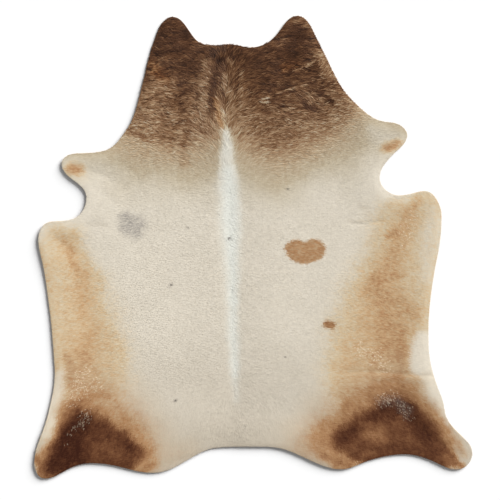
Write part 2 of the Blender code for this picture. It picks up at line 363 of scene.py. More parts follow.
FLANK_STROKES = (
    Stroke("left shoulder's sand", Field.FLANK, 0.30, 0.12, (
        (-0.92, 0.075, 0.060), (-0.90, 0.035, 0.090), (-0.91, -0.06, 0.120), (-0.89, -0.14, 0.150),
    )),
    Stroke("left sand", Field.FLANK, 0.40, 0.24, (
        (-0.95, -0.155, 0.190), (-0.93, -0.27, 0.240), (-0.90, -0.40, 0.275), (-0.88, -0.50, 0.280),
        (-0.87, -0.62, 0.270), (-0.85, -0.71, 0.240),
    )),
    Stroke("left gold", Field.FLANK, 0.57, 0.125, (
        (-0.89, 0.035, 0.020), (-0.85, -0.07, 0.036), (-0.815, -0.18, 0.052), (-0.805, -0.275, 0.064),
        (-0.795, -0.395, 0.082), (-0.805, -0.50, 0.095), (-0.815, -0.595, 0.098),
    )),
    Stroke("left belt's head", Field.FLANK, 0.82, 0.075, (
        (-0.905, 0.035, 0.012), (-0.87, -0.03, 0.018), (-0.845, -0.10, 0.014), (-0.82, -0.165, 0.006),
    )),
    Stroke("left belt", Field.FLANK, 0.70, 0.080, (
        (-0.82, -0.165, 0.014), (-0.80, -0.25, 0.028), (-0.82, -0.315, 0.019),
    )),
    Stroke("left belt's foot", Field.FLANK, 0.90, 0.090, (
        (-0.79, -0.41, 0.010), (-0.80, -0.465, 0.014), (-0.82, -0.535, 0.026), (-0.80, -0.615, 0.055),
        (-0.80, -0.665, 0.058),
    )),
    Stroke("left orange rim", Field.FLANK, 1.0, 0.042, (
        (-0.885, -0.52, 0.008), (-0.875, -0.60, 0.014), (-0.860, -0.68, 0.022),
    )),
    Stroke("left fringe", Field.FLANK, 0.52, 0.170, (
        (-0.690, -0.45, 0.014), (-0.665, -0.515, 0.018), (-0.70, -0.575, 0.020),
    )),
    Stroke("right sand", Field.FLANK, 0.38, 0.20, (
        (0.83, 0.19, 0.110), (0.72, 0.08, 0.180), (0.715, -0.05, 0.195), (0.70, -0.13, 0.205),
        (0.68, -0.21, 0.230), (0.65, -0.295, 0.250), (0.63, -0.42, 0.270), (0.59, -0.60, 0.262),
    )),
    Stroke("right gold", Field.FLANK, 0.61, 0.105, (
        (0.76, 0.17, 0.030), (0.70, 0.06, 0.038), (0.675, -0.04, 0.045), (0.635, -0.135, 0.078),
        (0.615, -0.23, 0.108), (0.632, -0.325, 0.132), (0.640, -0.42, 0.146), (0.600, -0.515, 0.152),
        (0.560, -0.61, 0.148),
    )),
    Stroke("right shoulder's edge", Field.FLANK, 0.22, 0.080, (
        (0.848, 0.17, 0.026), (0.832, 0.06, 0.046), (0.820, -0.04, 0.044), (0.815, -0.14, 0.026),
    )),
    Stroke("right belt", Field.FLANK, 0.80, 0.095, (
        (0.672, 0.01, 0.014), (0.66, -0.07, 0.019), (0.608, -0.155, 0.036), (0.607, -0.24, 0.053),
        (0.632, -0.315, 0.066), (0.640, -0.42, 0.058), (0.63, -0.51, 0.067), (0.60, -0.58, 0.067),
    )),
    Stroke("right belt's spur", Field.FLANK, 0.78, 0.075, (
        (0.68, -0.275, 0.030), (0.735, -0.305, 0.024), (0.775, -0.325, 0.014),
    )),
    Stroke("right belt's head", Field.FLANK, 0.74, 0.060, (
        (0.79, 0.225, 0.010), (0.735, 0.17, 0.021), (0.71, 0.11, 0.024), (0.70, 0.04, 0.017),
    )),
    Stroke("right russet spot", Field.FLANK, 1.0, 0.046, (
        (0.585, -0.14, 0.008), (0.605, -0.16, 0.010),
    )),
    Stroke("second russet spot", Field.FLANK, 0.95, 0.042, (
        (0.68, -0.125, 0.008), (0.70, -0.14, 0.008),
    )),
    Stroke("russet under the belt's head", Field.FLANK, 1.0, 0.050, (
        (0.65, 0.06, 0.010), (0.69, 0.075, 0.012),
    )),
    Stroke("right russet edge", Field.FLANK, 1.0, 0.058, (
        (0.722, -0.39, 0.003), (0.704, -0.44, 0.012), (0.696, -0.50, 0.023), (0.696, -0.55, 0.026),
        (0.700, -0.59, 0.024),
    )),
    Stroke("right fore spot's halo", Field.FLANK, 0.50, 0.075, (
        (0.615, 0.472, 0.014), (0.690, 0.495, 0.024),
    )),
    Stroke("right fore spot", Field.FLANK, 1.0, 0.048, ((0.641, 0.485, 0.023), (0.672, 0.495, 0.016))),
    Stroke("left fore spot's halo", Field.FLANK, 0.50, 0.080, (
        (-0.880, 0.385, 0.024), (-0.830, 0.365, 0.030),
    )),
    Stroke("left fore spot", Field.FLANK, 1.0, 0.050, ((-0.865, 0.390, 0.027), (-0.830, 0.377, 0.024))),
    Stroke("left pale patch", Field.CREAM, 0.72, 0.042, (
        (-0.922, -0.605, 0.018), (-0.932, -0.67, 0.026), (-0.948, -0.74, 0.027), (-0.968, -0.82, 0.020),
        (-0.995, -0.885, 0.008),
    )),
    Stroke("right pale patch", Field.CREAM, 0.95, 0.038, (
        (0.815, -0.45, 0.044), (0.803, -0.50, 0.062), (0.806, -0.55, 0.066), (0.822, -0.588, 0.044),
    )),
    Stroke("right pale strip", Field.CREAM, 0.62, 0.036, (
        (0.832, -0.63, 0.034), (0.857, -0.68, 0.024), (0.885, -0.73, 0.018), (0.904, -0.785, 0.012),
        (0.920, -0.825, 0.008),
    )),
    Stroke("left armpit", Field.CREAM, 0.4, 0.045, ((-0.765, 0.215, 0.016), (-0.775, 0.165, 0.010))),
    Stroke("right armpit", Field.CREAM, 0.9, 0.057, (
        (0.68, 0.255, 0.016), (0.63, 0.25, 0.022), (0.595, 0.29, 0.014),
    )),
)

RUMP_STROKES = (
    Stroke("left glow", Field.RUMP, 0.28, 0.280, (
        (-0.85, -0.655, 0.050), (-0.78, -0.655, 0.050), (-0.70, -0.70, 0.075), (-0.61, -0.80, 0.085),
        (-0.53, -0.90, 0.075), (-0.48, -0.99, 0.050),
    )),
    Stroke("left halo", Field.RUMP, 0.39, 0.100, (
        (-0.985, -0.96, 0.018), (-0.938, -0.88, 0.024), (-0.900, -0.80, 0.030), (-0.860, -0.745, 0.036),
        (-0.80, -0.730, 0.040), (-0.74, -0.770, 0.036),
    )),
    Stroke("left halo's far half", Field.RUMP, 0.38, 0.165, (
        (-0.74, -0.775, 0.030), (-0.665, -0.835, 0.034), (-0.595, -0.880, 0.034), (-0.54, -0.930, 0.028),
        (-0.510, -0.985, 0.022),
    )),
    Stroke("left crown", Field.RUMP, 0.48, 0.095, ((-0.865, -0.77, 0.018), (-0.81, -0.75, 0.018))),
    Stroke("left ground's end", Field.RUMP, 0.72, 0.110, (
        (-0.63, -0.965, 0.050), (-0.568, -0.985, 0.030),
    )),
    Stroke("left ground", Field.RUMP, 0.82, 0.078, (
        (-0.970, -1.045, 0.045), (-0.905, -0.97, 0.070), (-0.835, -0.92, 0.092), (-0.75, -0.918, 0.098),
        (-0.67, -0.94, 0.080), (-0.61, -0.965, 0.054),
    )),
    Stroke("left lower edge", Field.RUMP, 0.80, 0.060, (
        (-0.970, -1.07, 0.044), (-0.90, -1.04, 0.060), (-0.78, -1.00, 0.060), (-0.68, -1.01, 0.055),
        (-0.61, -1.04, 0.040),
    )),
    Stroke("left arch's far leg", Field.RUMP, 0.83, 0.092, (
        (-0.79, -0.848, 0.030), (-0.72, -0.875, 0.028), (-0.66, -0.903, 0.026), (-0.615, -0.93, 0.027),
        (-0.58, -0.948, 0.019),
    )),
    Stroke("its end", Field.RUMP, 0.93, 0.050, ((-0.615, -0.935, 0.014), (-0.585, -0.948, 0.012))),
    Stroke("left arch", Field.RUMP, 0.98, 0.085, (
        (-0.942, -1.04, 0.038), (-0.880, -0.975, 0.078), (-0.862, -0.90, 0.064), (-0.84, -0.845, 0.052),
        (-0.826, -0.812, 0.034), (-0.785, -0.814, 0.024),
    )),
    Stroke("left hollow", Field.RUMP, 0.69, 0.080, ((-0.72, -0.965, 0.026), (-0.65, -0.985, 0.030))),
    Stroke("left swell", Field.RUMP, 0.44, 0.055, (
        (-0.545, -1.065, 0.016), (-0.505, -1.04, 0.023), (-0.472, -1.035, 0.024),
    )),
    Stroke("left tip", Field.RUMP, 0.56, 0.070, (
        (-1.03, -1.00, 0.018), (-1.015, -1.045, 0.022), (-1.005, -1.08, 0.019),
    )),
    Stroke("left haze", Field.RUMP, 0.14, 0.140, (
        (-0.44, -1.020, 0.020), (-0.37, -0.990, 0.032), (-0.29, -0.965, 0.018),
    )),
    Stroke("left grey hairs", Field.ROAN, 0.17, 0.110, (
        (-0.43, -1.030, 0.020), (-0.37, -1.000, 0.030), (-0.28, -0.975, 0.020), (-0.20, -0.965, 0.010),
    )),
    Stroke("left tan bay", Field.RUMP, 0.24, 0.046, (
        (-0.750, -0.742, 0.020), (-0.69, -0.752, 0.023), (-0.65, -0.78, 0.014),
    )),
    Stroke("left flecks", Field.FLECK, 0.85, 0.055, (
        (-0.790, -0.575, 0.010), (-0.815, -0.62, 0.030), (-0.750, -0.655, 0.028), (-0.835, -0.68, 0.030),
        (-0.858, -0.75, 0.014),
    )),
    Stroke("left grey flecks", Field.FLECK, 0.8, 0.038, (
        (-0.845, -0.86, 0.014), (-0.805, -0.815, 0.026), (-0.78, -0.795, 0.017),
    )),
    Stroke("left stray flecks", Field.FLECK, 0.4, 0.038, (
        (-0.87, -0.90, 0.014), (-0.89, -0.935, 0.010),
    )),
    Stroke("right glow", Field.RUMP, 0.28, 0.260, (
        (0.265, -0.955, 0.080), (0.380, -0.835, 0.103), (0.515, -0.71, 0.092), (0.66, -0.635, 0.055),
        (0.74, -0.64, 0.040),
    )),
    Stroke("right grey hairs", Field.ROAN, 0.24, 0.120, (
        (0.17, -0.945, 0.020), (0.235, -0.935, 0.038), (0.285, -0.990, 0.034), (0.33, -1.030, 0.020),
    )),
    Stroke("right halo", Field.RUMP, 0.39, 0.105, (
        (0.340, -0.930, 0.046), (0.42, -0.840, 0.044), (0.515, -0.775, 0.039), (0.60, -0.71, 0.044),
        (0.69, -0.675, 0.048), (0.765, -0.70, 0.042), (0.83, -0.765, 0.038), (0.882, -0.845, 0.035),
        (0.935, -0.92, 0.038),
    )),
    Stroke("right crown", Field.RUMP, 0.49, 0.085, (
        (0.66, -0.705, 0.020), (0.71, -0.70, 0.024), (0.755, -0.735, 0.016),
    )),
    Stroke("right ground", Field.RUMP, 0.72, 0.075, (
        (0.43, -0.925, 0.048), (0.48, -0.91, 0.072), (0.57, -0.89, 0.110), (0.69, -0.86, 0.118),
        (0.775, -0.90, 0.100), (0.86, -0.97, 0.066), (0.93, -1.01, 0.032),
    )),
    Stroke("right lower edge", Field.RUMP, 0.80, 0.055, (
        (0.48, -0.985, 0.030), (0.54, -0.995, 0.042), (0.60, -0.985, 0.046), (0.70, -0.98, 0.046),
        (0.80, -1.00, 0.050), (0.89, -1.04, 0.036),
    )),
    Stroke("right arch", Field.RUMP, 0.90, 0.072, (
        (0.428, -0.895, 0.037), (0.472, -0.868, 0.024), (0.527, -0.835, 0.024), (0.585, -0.792, 0.038),
        (0.635, -0.772, 0.048), (0.69, -0.766, 0.050), (0.735, -0.776, 0.048), (0.775, -0.81, 0.048),
        (0.803, -0.86, 0.048), (0.84, -0.91, 0.040), (0.870, -0.945, 0.026),
    )),
    Stroke("its far end", Field.RUMP, 0.74, 0.070, ((0.875, -0.95, 0.024), (0.920, -0.985, 0.014))),
    Stroke("right hollow", Field.RUMP, 0.49, 0.080, (
        (0.555, -0.885, 0.024), (0.590, -0.887, 0.034), (0.620, -0.905, 0.018),
    )),
    Stroke("right swell", Field.RUMP, 0.48, 0.075, (
        (0.345, -0.995, 0.018), (0.40, -1.015, 0.034), (0.45, -1.035, 0.030),
    )),
    Stroke("right tip", Field.RUMP, 0.28, 0.070, ((0.985, -0.945, 0.020), (1.005, -0.985, 0.016))),
    Stroke("right tip's underside", Field.RUMP, 0.60, 0.050, (
        (0.915, -1.01, 0.022), (0.955, -1.035, 0.020), (0.985, -1.05, 0.012),
    )),
    Stroke("right arch's upper rim", Field.RUMP, 0.36, 0.055, (
        (0.440, -0.745, 0.012), (0.490, -0.780, 0.010),
    )),
    Stroke("right hollow's head", Field.RUMP, 0.60, 0.060, (
        (0.520, -0.835, 0.010), (0.565, -0.840, 0.014),
    )),
    Stroke("right hollow's foot", Field.RUMP, 0.60, 0.055, (
        (0.525, -0.985, 0.012), (0.570, -0.985, 0.013),
    )),
    Stroke("right flecks", Field.FLECK, 0.7, 0.067, (
        (0.505, -0.49, 0.028), (0.585, -0.525, 0.038), (0.63, -0.575, 0.019),
    )),
    Stroke("right arch's grey", Field.ROAN, 0.34, 0.060, (
        (0.610, -0.735, 0.015), (0.680, -0.735, 0.030), (0.730, -0.790, 0.022),
    )),
    Stroke("right grey flecks", Field.FLECK, 0.8, 0.048, (
        (0.60, -0.735, 0.019), (0.67, -0.725, 0.033), (0.72, -0.785, 0.026), (0.755, -0.825, 0.010),
    )),
    Stroke("right stray flecks", Field.FLECK, 0.5, 0.048, (
        (0.76, 0.17, 0.014), (0.725, 0.10, 0.019), (0.715, 0.03, 0.014),
    )),
)

SPOT_AND_SHADE_STROKES = (
    Stroke("tan patch", Field.RUMP, 0.29, 0.014, (
        (0.170, -0.008, 0.022), (0.205, -0.015, 0.051), (0.248, -0.029, 0.049), (0.295, -0.012, 0.052),
    )),
    Stroke("tan speck", Field.RUMP, 0.42, 0.022, ((0.360, -0.370, 0.019), (0.380, -0.374, 0.017))),
    Stroke("roan patch", Field.ROAN, 1.0, 0.045, (
        (-0.605, 0.135, 0.028), (-0.585, 0.105, 0.048), (-0.545, 0.110, 0.043),
        (-0.555, 0.070, 0.033), (-0.61, 0.090, 0.028),
    )),
    # Painted shade: grey laid into the packing folds, the left armpit and along the rump's edge.
    Stroke("left shoulder fold", Field.GREY_AND_SHADE, 0.36, 0.034, (
        (-0.785, 0.105, 0.005), (-0.70, 0.095, 0.007),
    )),
    Stroke("its upper line", Field.GREY_AND_SHADE, 0.15, 0.026, ((-0.77, 0.135, 0.002), (-0.72, 0.130, 0.003))),
    Stroke("right shoulder fold", Field.GREY_AND_SHADE, 0.62, 0.030, (
        (0.455, 0.130, 0.003), (0.53, 0.115, 0.008), (0.61, 0.120, 0.004),
    )),
    Stroke("its head", Field.GREY_AND_SHADE, 0.30, 0.032, ((0.50, 0.205, 0.007), (0.535, 0.170, 0.006))),
    Stroke("right stifle fold", Field.GREY_AND_SHADE, 0.36, 0.019, (
        (0.505, -0.605, 0.003), (0.66, -0.610, 0.005), (0.84, -0.615, 0.003),
    )),
    Stroke("left armpit's shade", Field.GREY_AND_SHADE, 0.30, 0.060, (
        (-0.70, 0.285, 0.018), (-0.655, 0.250, 0.022),
    )),
    Stroke("shade of the rump's edge", Field.GREY_AND_SHADE, 0.95, 0.060, (
        (-0.44, -1.040, 0.010), (-0.30, -0.990, 0.010), (-0.18, -0.970, 0.014), (-0.02, -0.962, 0.016),
        (0.12, -0.968, 0.014), (0.22, -0.992, 0.010),
    )),
)


class Nick(NamedTuple):
    """A small dark scar in the coat, in metres."""

    place: str
    across: float
    along: float
    radius: float


NICKS = (
    Nick("left ribs", -0.386, -0.180, 0.007),
    Nick("left loin", -0.367, -0.727, 0.006),
    Nick("back scar", -0.113, 0.043, 0.006),
    Nick("right withers", 0.160, 0.276, 0.005),
    Nick("left withers", -0.306, 0.091, 0.005),
    Nick("right ribs", 0.146, -0.522, 0.004),
)


class DuskStep(NamedTuple):
    """A slow darkening towards the tail, from a place along and over a reach, in metres."""

    place: str
    depth: float
    along_from: float
    reach: float


DUSK_STEPS = (
    DuskStep("behind the ribs", 0.28, -0.30, 0.40),
    DuskStep("rump", 0.32, -0.74, 0.20),
)


def neck_measure(across: np.ndarray, measure: str) -> np.ndarray:
    """One measure of the neck's rows, by its name, at places across."""
    values = [getattr(row, measure) for row in NECK_ROWS]
    return np.interp(across, [row.across for row in NECK_ROWS], values)


class Noise:
    """Smooth seeded noise over the hide, from -1 to 1."""

    def __init__(self, seed: int, size: int = 256) -> None:
        """Draws the noise's lattice."""
        self.size = size
        self.lattice = np.random.default_rng(seed).uniform(-1.0, 1.0, (size, size))

    def at(self, x: np.ndarray, y: np.ndarray, wide: float, high: float) -> np.ndarray:
        """Reads the noise.

        Args:
            x: Places across, in metres.
            y: Places along, in metres.
            wide: How far apart the lattice points lie across, in metres.
            high: How far apart they lie along, in metres.

        Returns:
            The noise at each place.
        """
        column, row = np.floor(x / wide).astype(int), np.floor(y / high).astype(int)
        s, t = ease(x / wide - column), ease(y / high - row)
        left, right = column % self.size, (column + 1) % self.size
        low, up = row % self.size, (row + 1) % self.size
        below = self.lattice[low, left] * (1 - s) + self.lattice[low, right] * s
        above = self.lattice[up, left] * (1 - s) + self.lattice[up, right] * s
        return below * (1 - t) + above * t


@dataclass
class HideEdge:
    """The hide's trimmed edge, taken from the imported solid's underside.

    Attributes:
        solid: The solid whose underside carries the edge.
        step: Distance between the points of the smoothed edge.
        cell: Pitch of the grid that holds each place's distance to the edge.
        margin: How far the grid reaches outside the hide.
        reach: The most that a distance to the edge can be.
        weld: Distance within which the solid's corners are merged.
        downward: The normals of the underside point lower than this.
        curve_points: Points of the curve from one corner to the next.
        loop: The smoothed edge's points, counterclockwise.
        corner: The grid's corner at the left and the tail.
        inward: The grid.
    """

    solid: bpy.types.Object
    step: float = 0.008
    cell: float = 0.008
    margin: float = 0.06
    reach: float = 0.25
    weld: float = 1e-5
    downward: float = -0.9
    curve_points: int = 8
    loop: np.ndarray = field(init=False)
    corner: np.ndarray = field(init=False)
    inward: np.ndarray = field(init=False)

    def __post_init__(self) -> None:
        """Measures the edge and fills the grid."""
        self.loop = self.even_loop(self.solid_loop())
        self.corner = self.loop.min(0) - self.margin
        self.inward = self.distance_grid()

    def solid_loop(self) -> np.ndarray:
        """Follows the rim of the solid's underside.

        Returns:
            Its corners, counterclockwise.
        """
        mesh = bmesh.new()
        mesh.from_mesh(self.solid.data)
        bmesh.ops.remove_doubles(mesh, verts=mesh.verts, dist=self.weld)
        mesh.normal_update()
        rim = [
            line for line in mesh.edges
            if sum(face.normal.z < self.downward for face in line.link_faces) == 1
        ]
        beside: dict[int, list[bmesh.types.BMVert]] = {}
        for line in rim:
            for here, there in (line.verts, reversed(line.verts)):
                beside.setdefault(here.index, []).append(there)
        mesh.verts.ensure_lookup_table()
        here, before, found = rim[0].verts[0], None, []
        while here is not None and (not found or here.index != found[0][0]):
            found.append((here.index, here.co.x, here.co.y))
            ahead = [other for other in beside[here.index] if other.index != before]
            before, here = here.index, (ahead[0] if ahead else None)
        mesh.free()
        corners = np.array(found)[:, 1:]
        x, y = corners.T
        turning = (x * np.roll(y, -1) - np.roll(x, -1) * y).sum()
        return corners if turning > 0 else corners[::-1]

    def even_loop(self, corners: np.ndarray) -> np.ndarray:
        """Rounds the edge through its corners and spaces its points evenly.

        Args:
            corners: The edge's corners, counterclockwise.

        Returns:
            The smoothed edge's points.
        """
        before, after, next_after = (np.roll(corners, shift, 0) for shift in (1, -1, -2))
        pieces = []
        for t in np.linspace(0.0, 1.0, self.curve_points, endpoint=False):
            pieces.append(0.5 * (
                2 * corners + (after - before) * t
                + (2 * before - 5 * corners + 4 * after - next_after) * t**2
                + (3 * corners - before - 3 * after + next_after) * t**3
            ))
        fine = np.stack(pieces, 1).reshape(-1, 2)
        closed = np.vstack([fine, fine[:1]])
        run = np.concatenate([[0], np.cumsum(np.linalg.norm(np.diff(closed, axis=0), axis=1))])
        places = np.linspace(0, run[-1], int(run[-1] / self.step), endpoint=False)
        return np.stack([np.interp(places, run, closed[:, axis]) for axis in (0, 1)], 1)

    def distance_grid(self) -> np.ndarray:
        """Measures the distance to the edge.

        Returns:
            How far inside the edge each grid point lies, less than 0 outside.
        """
        span = self.loop.max(0) + self.margin - self.corner
        across, along = (np.arange(int(size / self.cell) + 2) * self.cell for size in span)
        x, y = np.meshgrid(across + self.corner[0], along + self.corner[1])
        start, end = self.loop, np.roll(self.loop, -1, 0)
        leg = end - start
        nearest, crossings = np.full(x.shape, np.inf), np.zeros(x.shape, int)
        for (ax, ay), (bx, by), (dx, dy) in zip(start, end, leg):
            near = (np.abs(x - ax) < self.reach) & (np.abs(y - ay) < self.reach)
            px, py = x[near] - ax, y[near] - ay
            t = np.clip((px * dx + py * dy) / (dx * dx + dy * dy), 0, 1)
            nearest[near] = np.minimum(nearest[near], np.hypot(px - t * dx, py - t * dy))
            if ay != by:
                passed = (y > min(ay, by)) & (y <= max(ay, by))
                crossings[passed] += x[passed] < ax + (y[passed] - ay) * dx / dy
        nearest = np.minimum(nearest, self.reach)
        return np.where(crossings % 2 == 1, nearest, -nearest)

    def inside(self, x: np.ndarray, y: np.ndarray) -> np.ndarray:
        """Reads the distance to the edge.

        Args:
            x: Places across.
            y: Places along.

        Returns:
            How far inside the edge each place lies, less than 0 outside.
        """
        rows, columns = (count - JUST_INSIDE for count in self.inward.shape)
        column = np.clip((x - self.corner[0]) / self.cell, 0, columns)
        row = np.clip((y - self.corner[1]) / self.cell, 0, rows)
        i, j = column.astype(int), row.astype(int)
        s, t = column - i, row - j
        low = self.inward[j, i] * (1 - s) + self.inward[j, i + 1] * s
        up = self.inward[j + 1, i] * (1 - s) + self.inward[j + 1, i + 1] * s
        return low * (1 - t) + up * t


@dataclass
class HairLie:
    """Which way the hair lies.

    It leaves the back line outwards. Beside the crest of the neck it first runs up towards the
    head, on the body a little tailwards, and over the flanks and rump it turns down to the tail.
    """

    crest_slope: float = 1.7
    poll_width: float = 0.050
    crest_width: float = 0.090
    poll_along: float = 0.85
    withers_along: float = 0.55
    back_fall: float = 0.050
    back_width: float = 0.060
    flank_fall: float = 0.30
    rump_fall: float = 2.2
    rump_from: float = -0.60
    rump_reach: float = 0.30
    neck_from: float = 0.20
    neck_to: float = 0.50

    def back(self, along: np.ndarray) -> np.ndarray:
        """Where the back line runs across at places along."""
        return np.interp(along, [p.along for p in BACK_LINE], [p.across for p in BACK_LINE])

    def neckness(self, along: np.ndarray) -> np.ndarray:
        """0 on the body and 1 on the neck."""
        return ease((along - self.neck_from) / (self.neck_to - self.neck_from))

    def turning_width(self, along: np.ndarray) -> np.ndarray:
        """How far out the hair beside the crest runs up, less at the poll than at the withers."""
        ends = self.withers_along, self.poll_along
        return np.interp(along, ends, (self.crest_width, self.poll_width))

    def stream(self, x: np.ndarray, y: np.ndarray) -> tuple[np.ndarray, np.ndarray]:
        """Places in the hair's own coordinates.

        Args:
            x: Places across.
            y: Places along.

        Returns:
            How far each place lies along its hair line, and across the lines.
        """
        out = np.abs(x - self.back(y))
        neck = self.neckness(y)
        wide = self.turning_width(y)
        rise = neck * self.crest_slope * wide * (1 - np.exp(-out / wide))
        fall = (1 - neck) * self.back_fall * (1 - np.exp(-out / self.back_width))
        return out, y - rise + fall + 0.5 * self.flank_fall * out**2 * (1 - neck)

    def heading(self, x: np.ndarray, y: np.ndarray) -> np.ndarray:
        """The way that the hair points.

        Args:
            x: Places across.
            y: Places along.

        Returns:
            The heading at each place, as an angle from across to along.
        """
        side = np.where(x >= self.back(y), 1.0, -1.0)
        out = np.abs(x - self.back(y))
        neck = self.neckness(y)
        slope = neck * self.crest_slope * np.exp(-out / self.turning_width(y))
        slope -= (1 - neck) * self.back_fall / self.back_width * np.exp(-out / self.back_width)
        slope -= (1 - neck) * self.flank_fall * out
        slope -= self.rump_fall * ease((self.rump_from - y) / self.rump_reach)
        angle = np.arctan2(slope, side)
        for whorl in WHORLS:
            away = np.hypot(x - whorl.across, y - whorl.along) / whorl.radius
            angle = angle + whorl.turn * np.exp(-away * away)
        return angle


class Fold(NamedTuple):
    """A soft trough that packing left in the hide, in metres."""

    place: str
    across_from: float
    across_to: float
    along: float
    depth: float
    half_width: float
    slant: float = 0.0


FOLDS = (
    Fold("left shoulder", -0.86, -0.60, 0.105, 0.0006, 0.030),
    Fold("right shoulder", 0.47, 0.71, 0.122, 0.0006, 0.030),
    Fold("right stifle", 0.42, 0.88, -0.602, 0.0006, 0.030),
)

CREASES = (
    Fold("left shoulder", -0.775, -0.71, 0.096, 0.0004, 0.018),
    Fold("right shoulder", 0.475, 0.60, 0.117, 0.0009, 0.012, 0.10),
    Fold("its head", 0.50, 0.56, 0.180, 0.0005, 0.012),
    Fold("right stifle", 0.45, 0.62, -0.594, 0.0008, 0.012, 0.02),
    Fold("right stifle's end", 0.60, 0.86, -0.604, 0.0010, 0.011, -0.07),
    Fold("right stifle, lower", 0.56, 0.80, -0.645, 0.0005, 0.013, -0.05),
)


@dataclass
class Relief:
    """Heights of the hide over the floor, in the solid's own measures.

    The solid's top rises from edge_thickness at its edge, within edge_band, by the belly's, the
    neck's and the back's rise, with shallow cockles. The leather is rim_leather thick at its cut
    edge and thicker by felt within felt_band, and it sinks by fold_share of a fold. The edge lifts
    off the floor by up to lift_height, within lift_band. One share of the lift comes and goes in
    waves, and one, the lively one, is there only towards the left and the tail.
    """

    edge: HideEdge
    edge_thickness: float = 0.0035
    belly_rise: float = 0.0010
    neck_rise: float = 0.0015
    back_rise: float = 0.0008
    cockle_height: float = 0.0002
    edge_band: float = 0.080
    neck_start: float = 0.25
    neck_full: float = 0.75
    back_half_width: float = 0.14
    ridge_along: tuple[float, float] = (-1.1, 1.1)
    ridge_across: tuple[float, float] = (-0.075, -0.130)
    cockle_across: float = 0.46
    cockle_along: float = 0.61
    rim_leather: float = 0.0021
    felt: float = 0.0010
    felt_band: float = 0.025
    fold_share: float = 0.5
    lift_height: float = 0.0108
    lift_band: float = 0.210
    lift_least: float = 0.60
    lift_swing: float = 0.40
    lift_waves: tuple[float, float] = (0.19, 0.23)
    calm_lift: float = 0.35
    lively_lift: float = 0.65
    lively_from: float = 0.85
    lively_slope: float = 1.2
    lively_reach: float = 1.2
    lift_noise: Noise = field(default_factory=lambda: Noise(SEED + 1))

    def coat_top(self, x: np.ndarray, y: np.ndarray) -> np.ndarray:
        """Height of the lying coat over the underside, as the solid has it.

        Args:
            x: Places across.
            y: Places along.

        Returns:
            The height at each place.
        """
        inward = ease(self.edge.inside(x, y) / self.edge_band)
        neck = ease((y - self.neck_start) / (self.neck_full - self.neck_start))
        back = np.interp(y, self.ridge_along, self.ridge_across)
        ridge = np.exp(-(((x - back) / self.back_half_width) ** 2))
        cockle = np.sin(math.tau * x / self.cockle_across) * np.cos(math.tau * y / self.cockle_along)
        rise = self.belly_rise + self.neck_rise * neck + self.back_rise * ridge
        rise += self.cockle_height * cockle
        return self.edge_thickness + inward * (rise - self.folds(x, y))

    def folds(
        self, x: np.ndarray, y: np.ndarray, among: tuple[Fold, ...] = FOLDS,
    ) -> np.ndarray:
        """How far the packing folds, or some finer ones, lower the coat.

        Args:
            x: Places across.
            y: Places along.
            among: The folds that count.

        Returns:
            Their depth at each place.
        """
        depth = np.zeros_like(x)
        for fold in among:
            past = np.maximum.reduce([fold.across_from - x, x - fold.across_to, np.zeros_like(x)])
            line = fold.along + fold.slant * (x - 0.5 * (fold.across_from + fold.across_to))
            off = np.hypot(past, y - line) / fold.half_width
            depth += fold.depth * np.exp(-off * off)
        return depth

    def underside(self, x: np.ndarray, y: np.ndarray) -> np.ndarray:
        """Height of the suede over the floor: none, but for the edge's soft waves.

        Args:
            x: Places across.
            y: Places along.

        Returns:
            The height at each place.
        """
        near = 1 - ease(self.edge.inside(x, y) / self.lift_band)
        swing = ease(0.5 + 0.5 * self.lift_noise.at(x, y, *self.lift_waves))
        wave = self.lift_least + self.lift_swing * swing
        lively = ease((self.lively_from - x - self.lively_slope * y) / self.lively_reach)
        return self.lift_height * near * wave * (self.calm_lift + self.lively_lift * lively)

    def leather(self, x: np.ndarray, y: np.ndarray) -> np.ndarray:
        """Thickness of the leather with its underfur."""
        return self.rim_leather + self.felt * ease(self.edge.inside(x, y) / self.felt_band)

    def ground(self, x: np.ndarray, y: np.ndarray) -> np.ndarray:
        """Height of the hair's roots over the floor."""
        sunk = self.fold_share * self.folds(x, y) + self.folds(x, y, CREASES)
        return self.underside(x, y) + self.leather(x, y) - sunk

    def depth(self, x: np.ndarray, y: np.ndarray) -> np.ndarray:
        """How deep the lying coat is over the hair's roots."""
        return self.coat_top(x, y) - self.leather(x, y) + self.fold_share * self.folds(x, y)


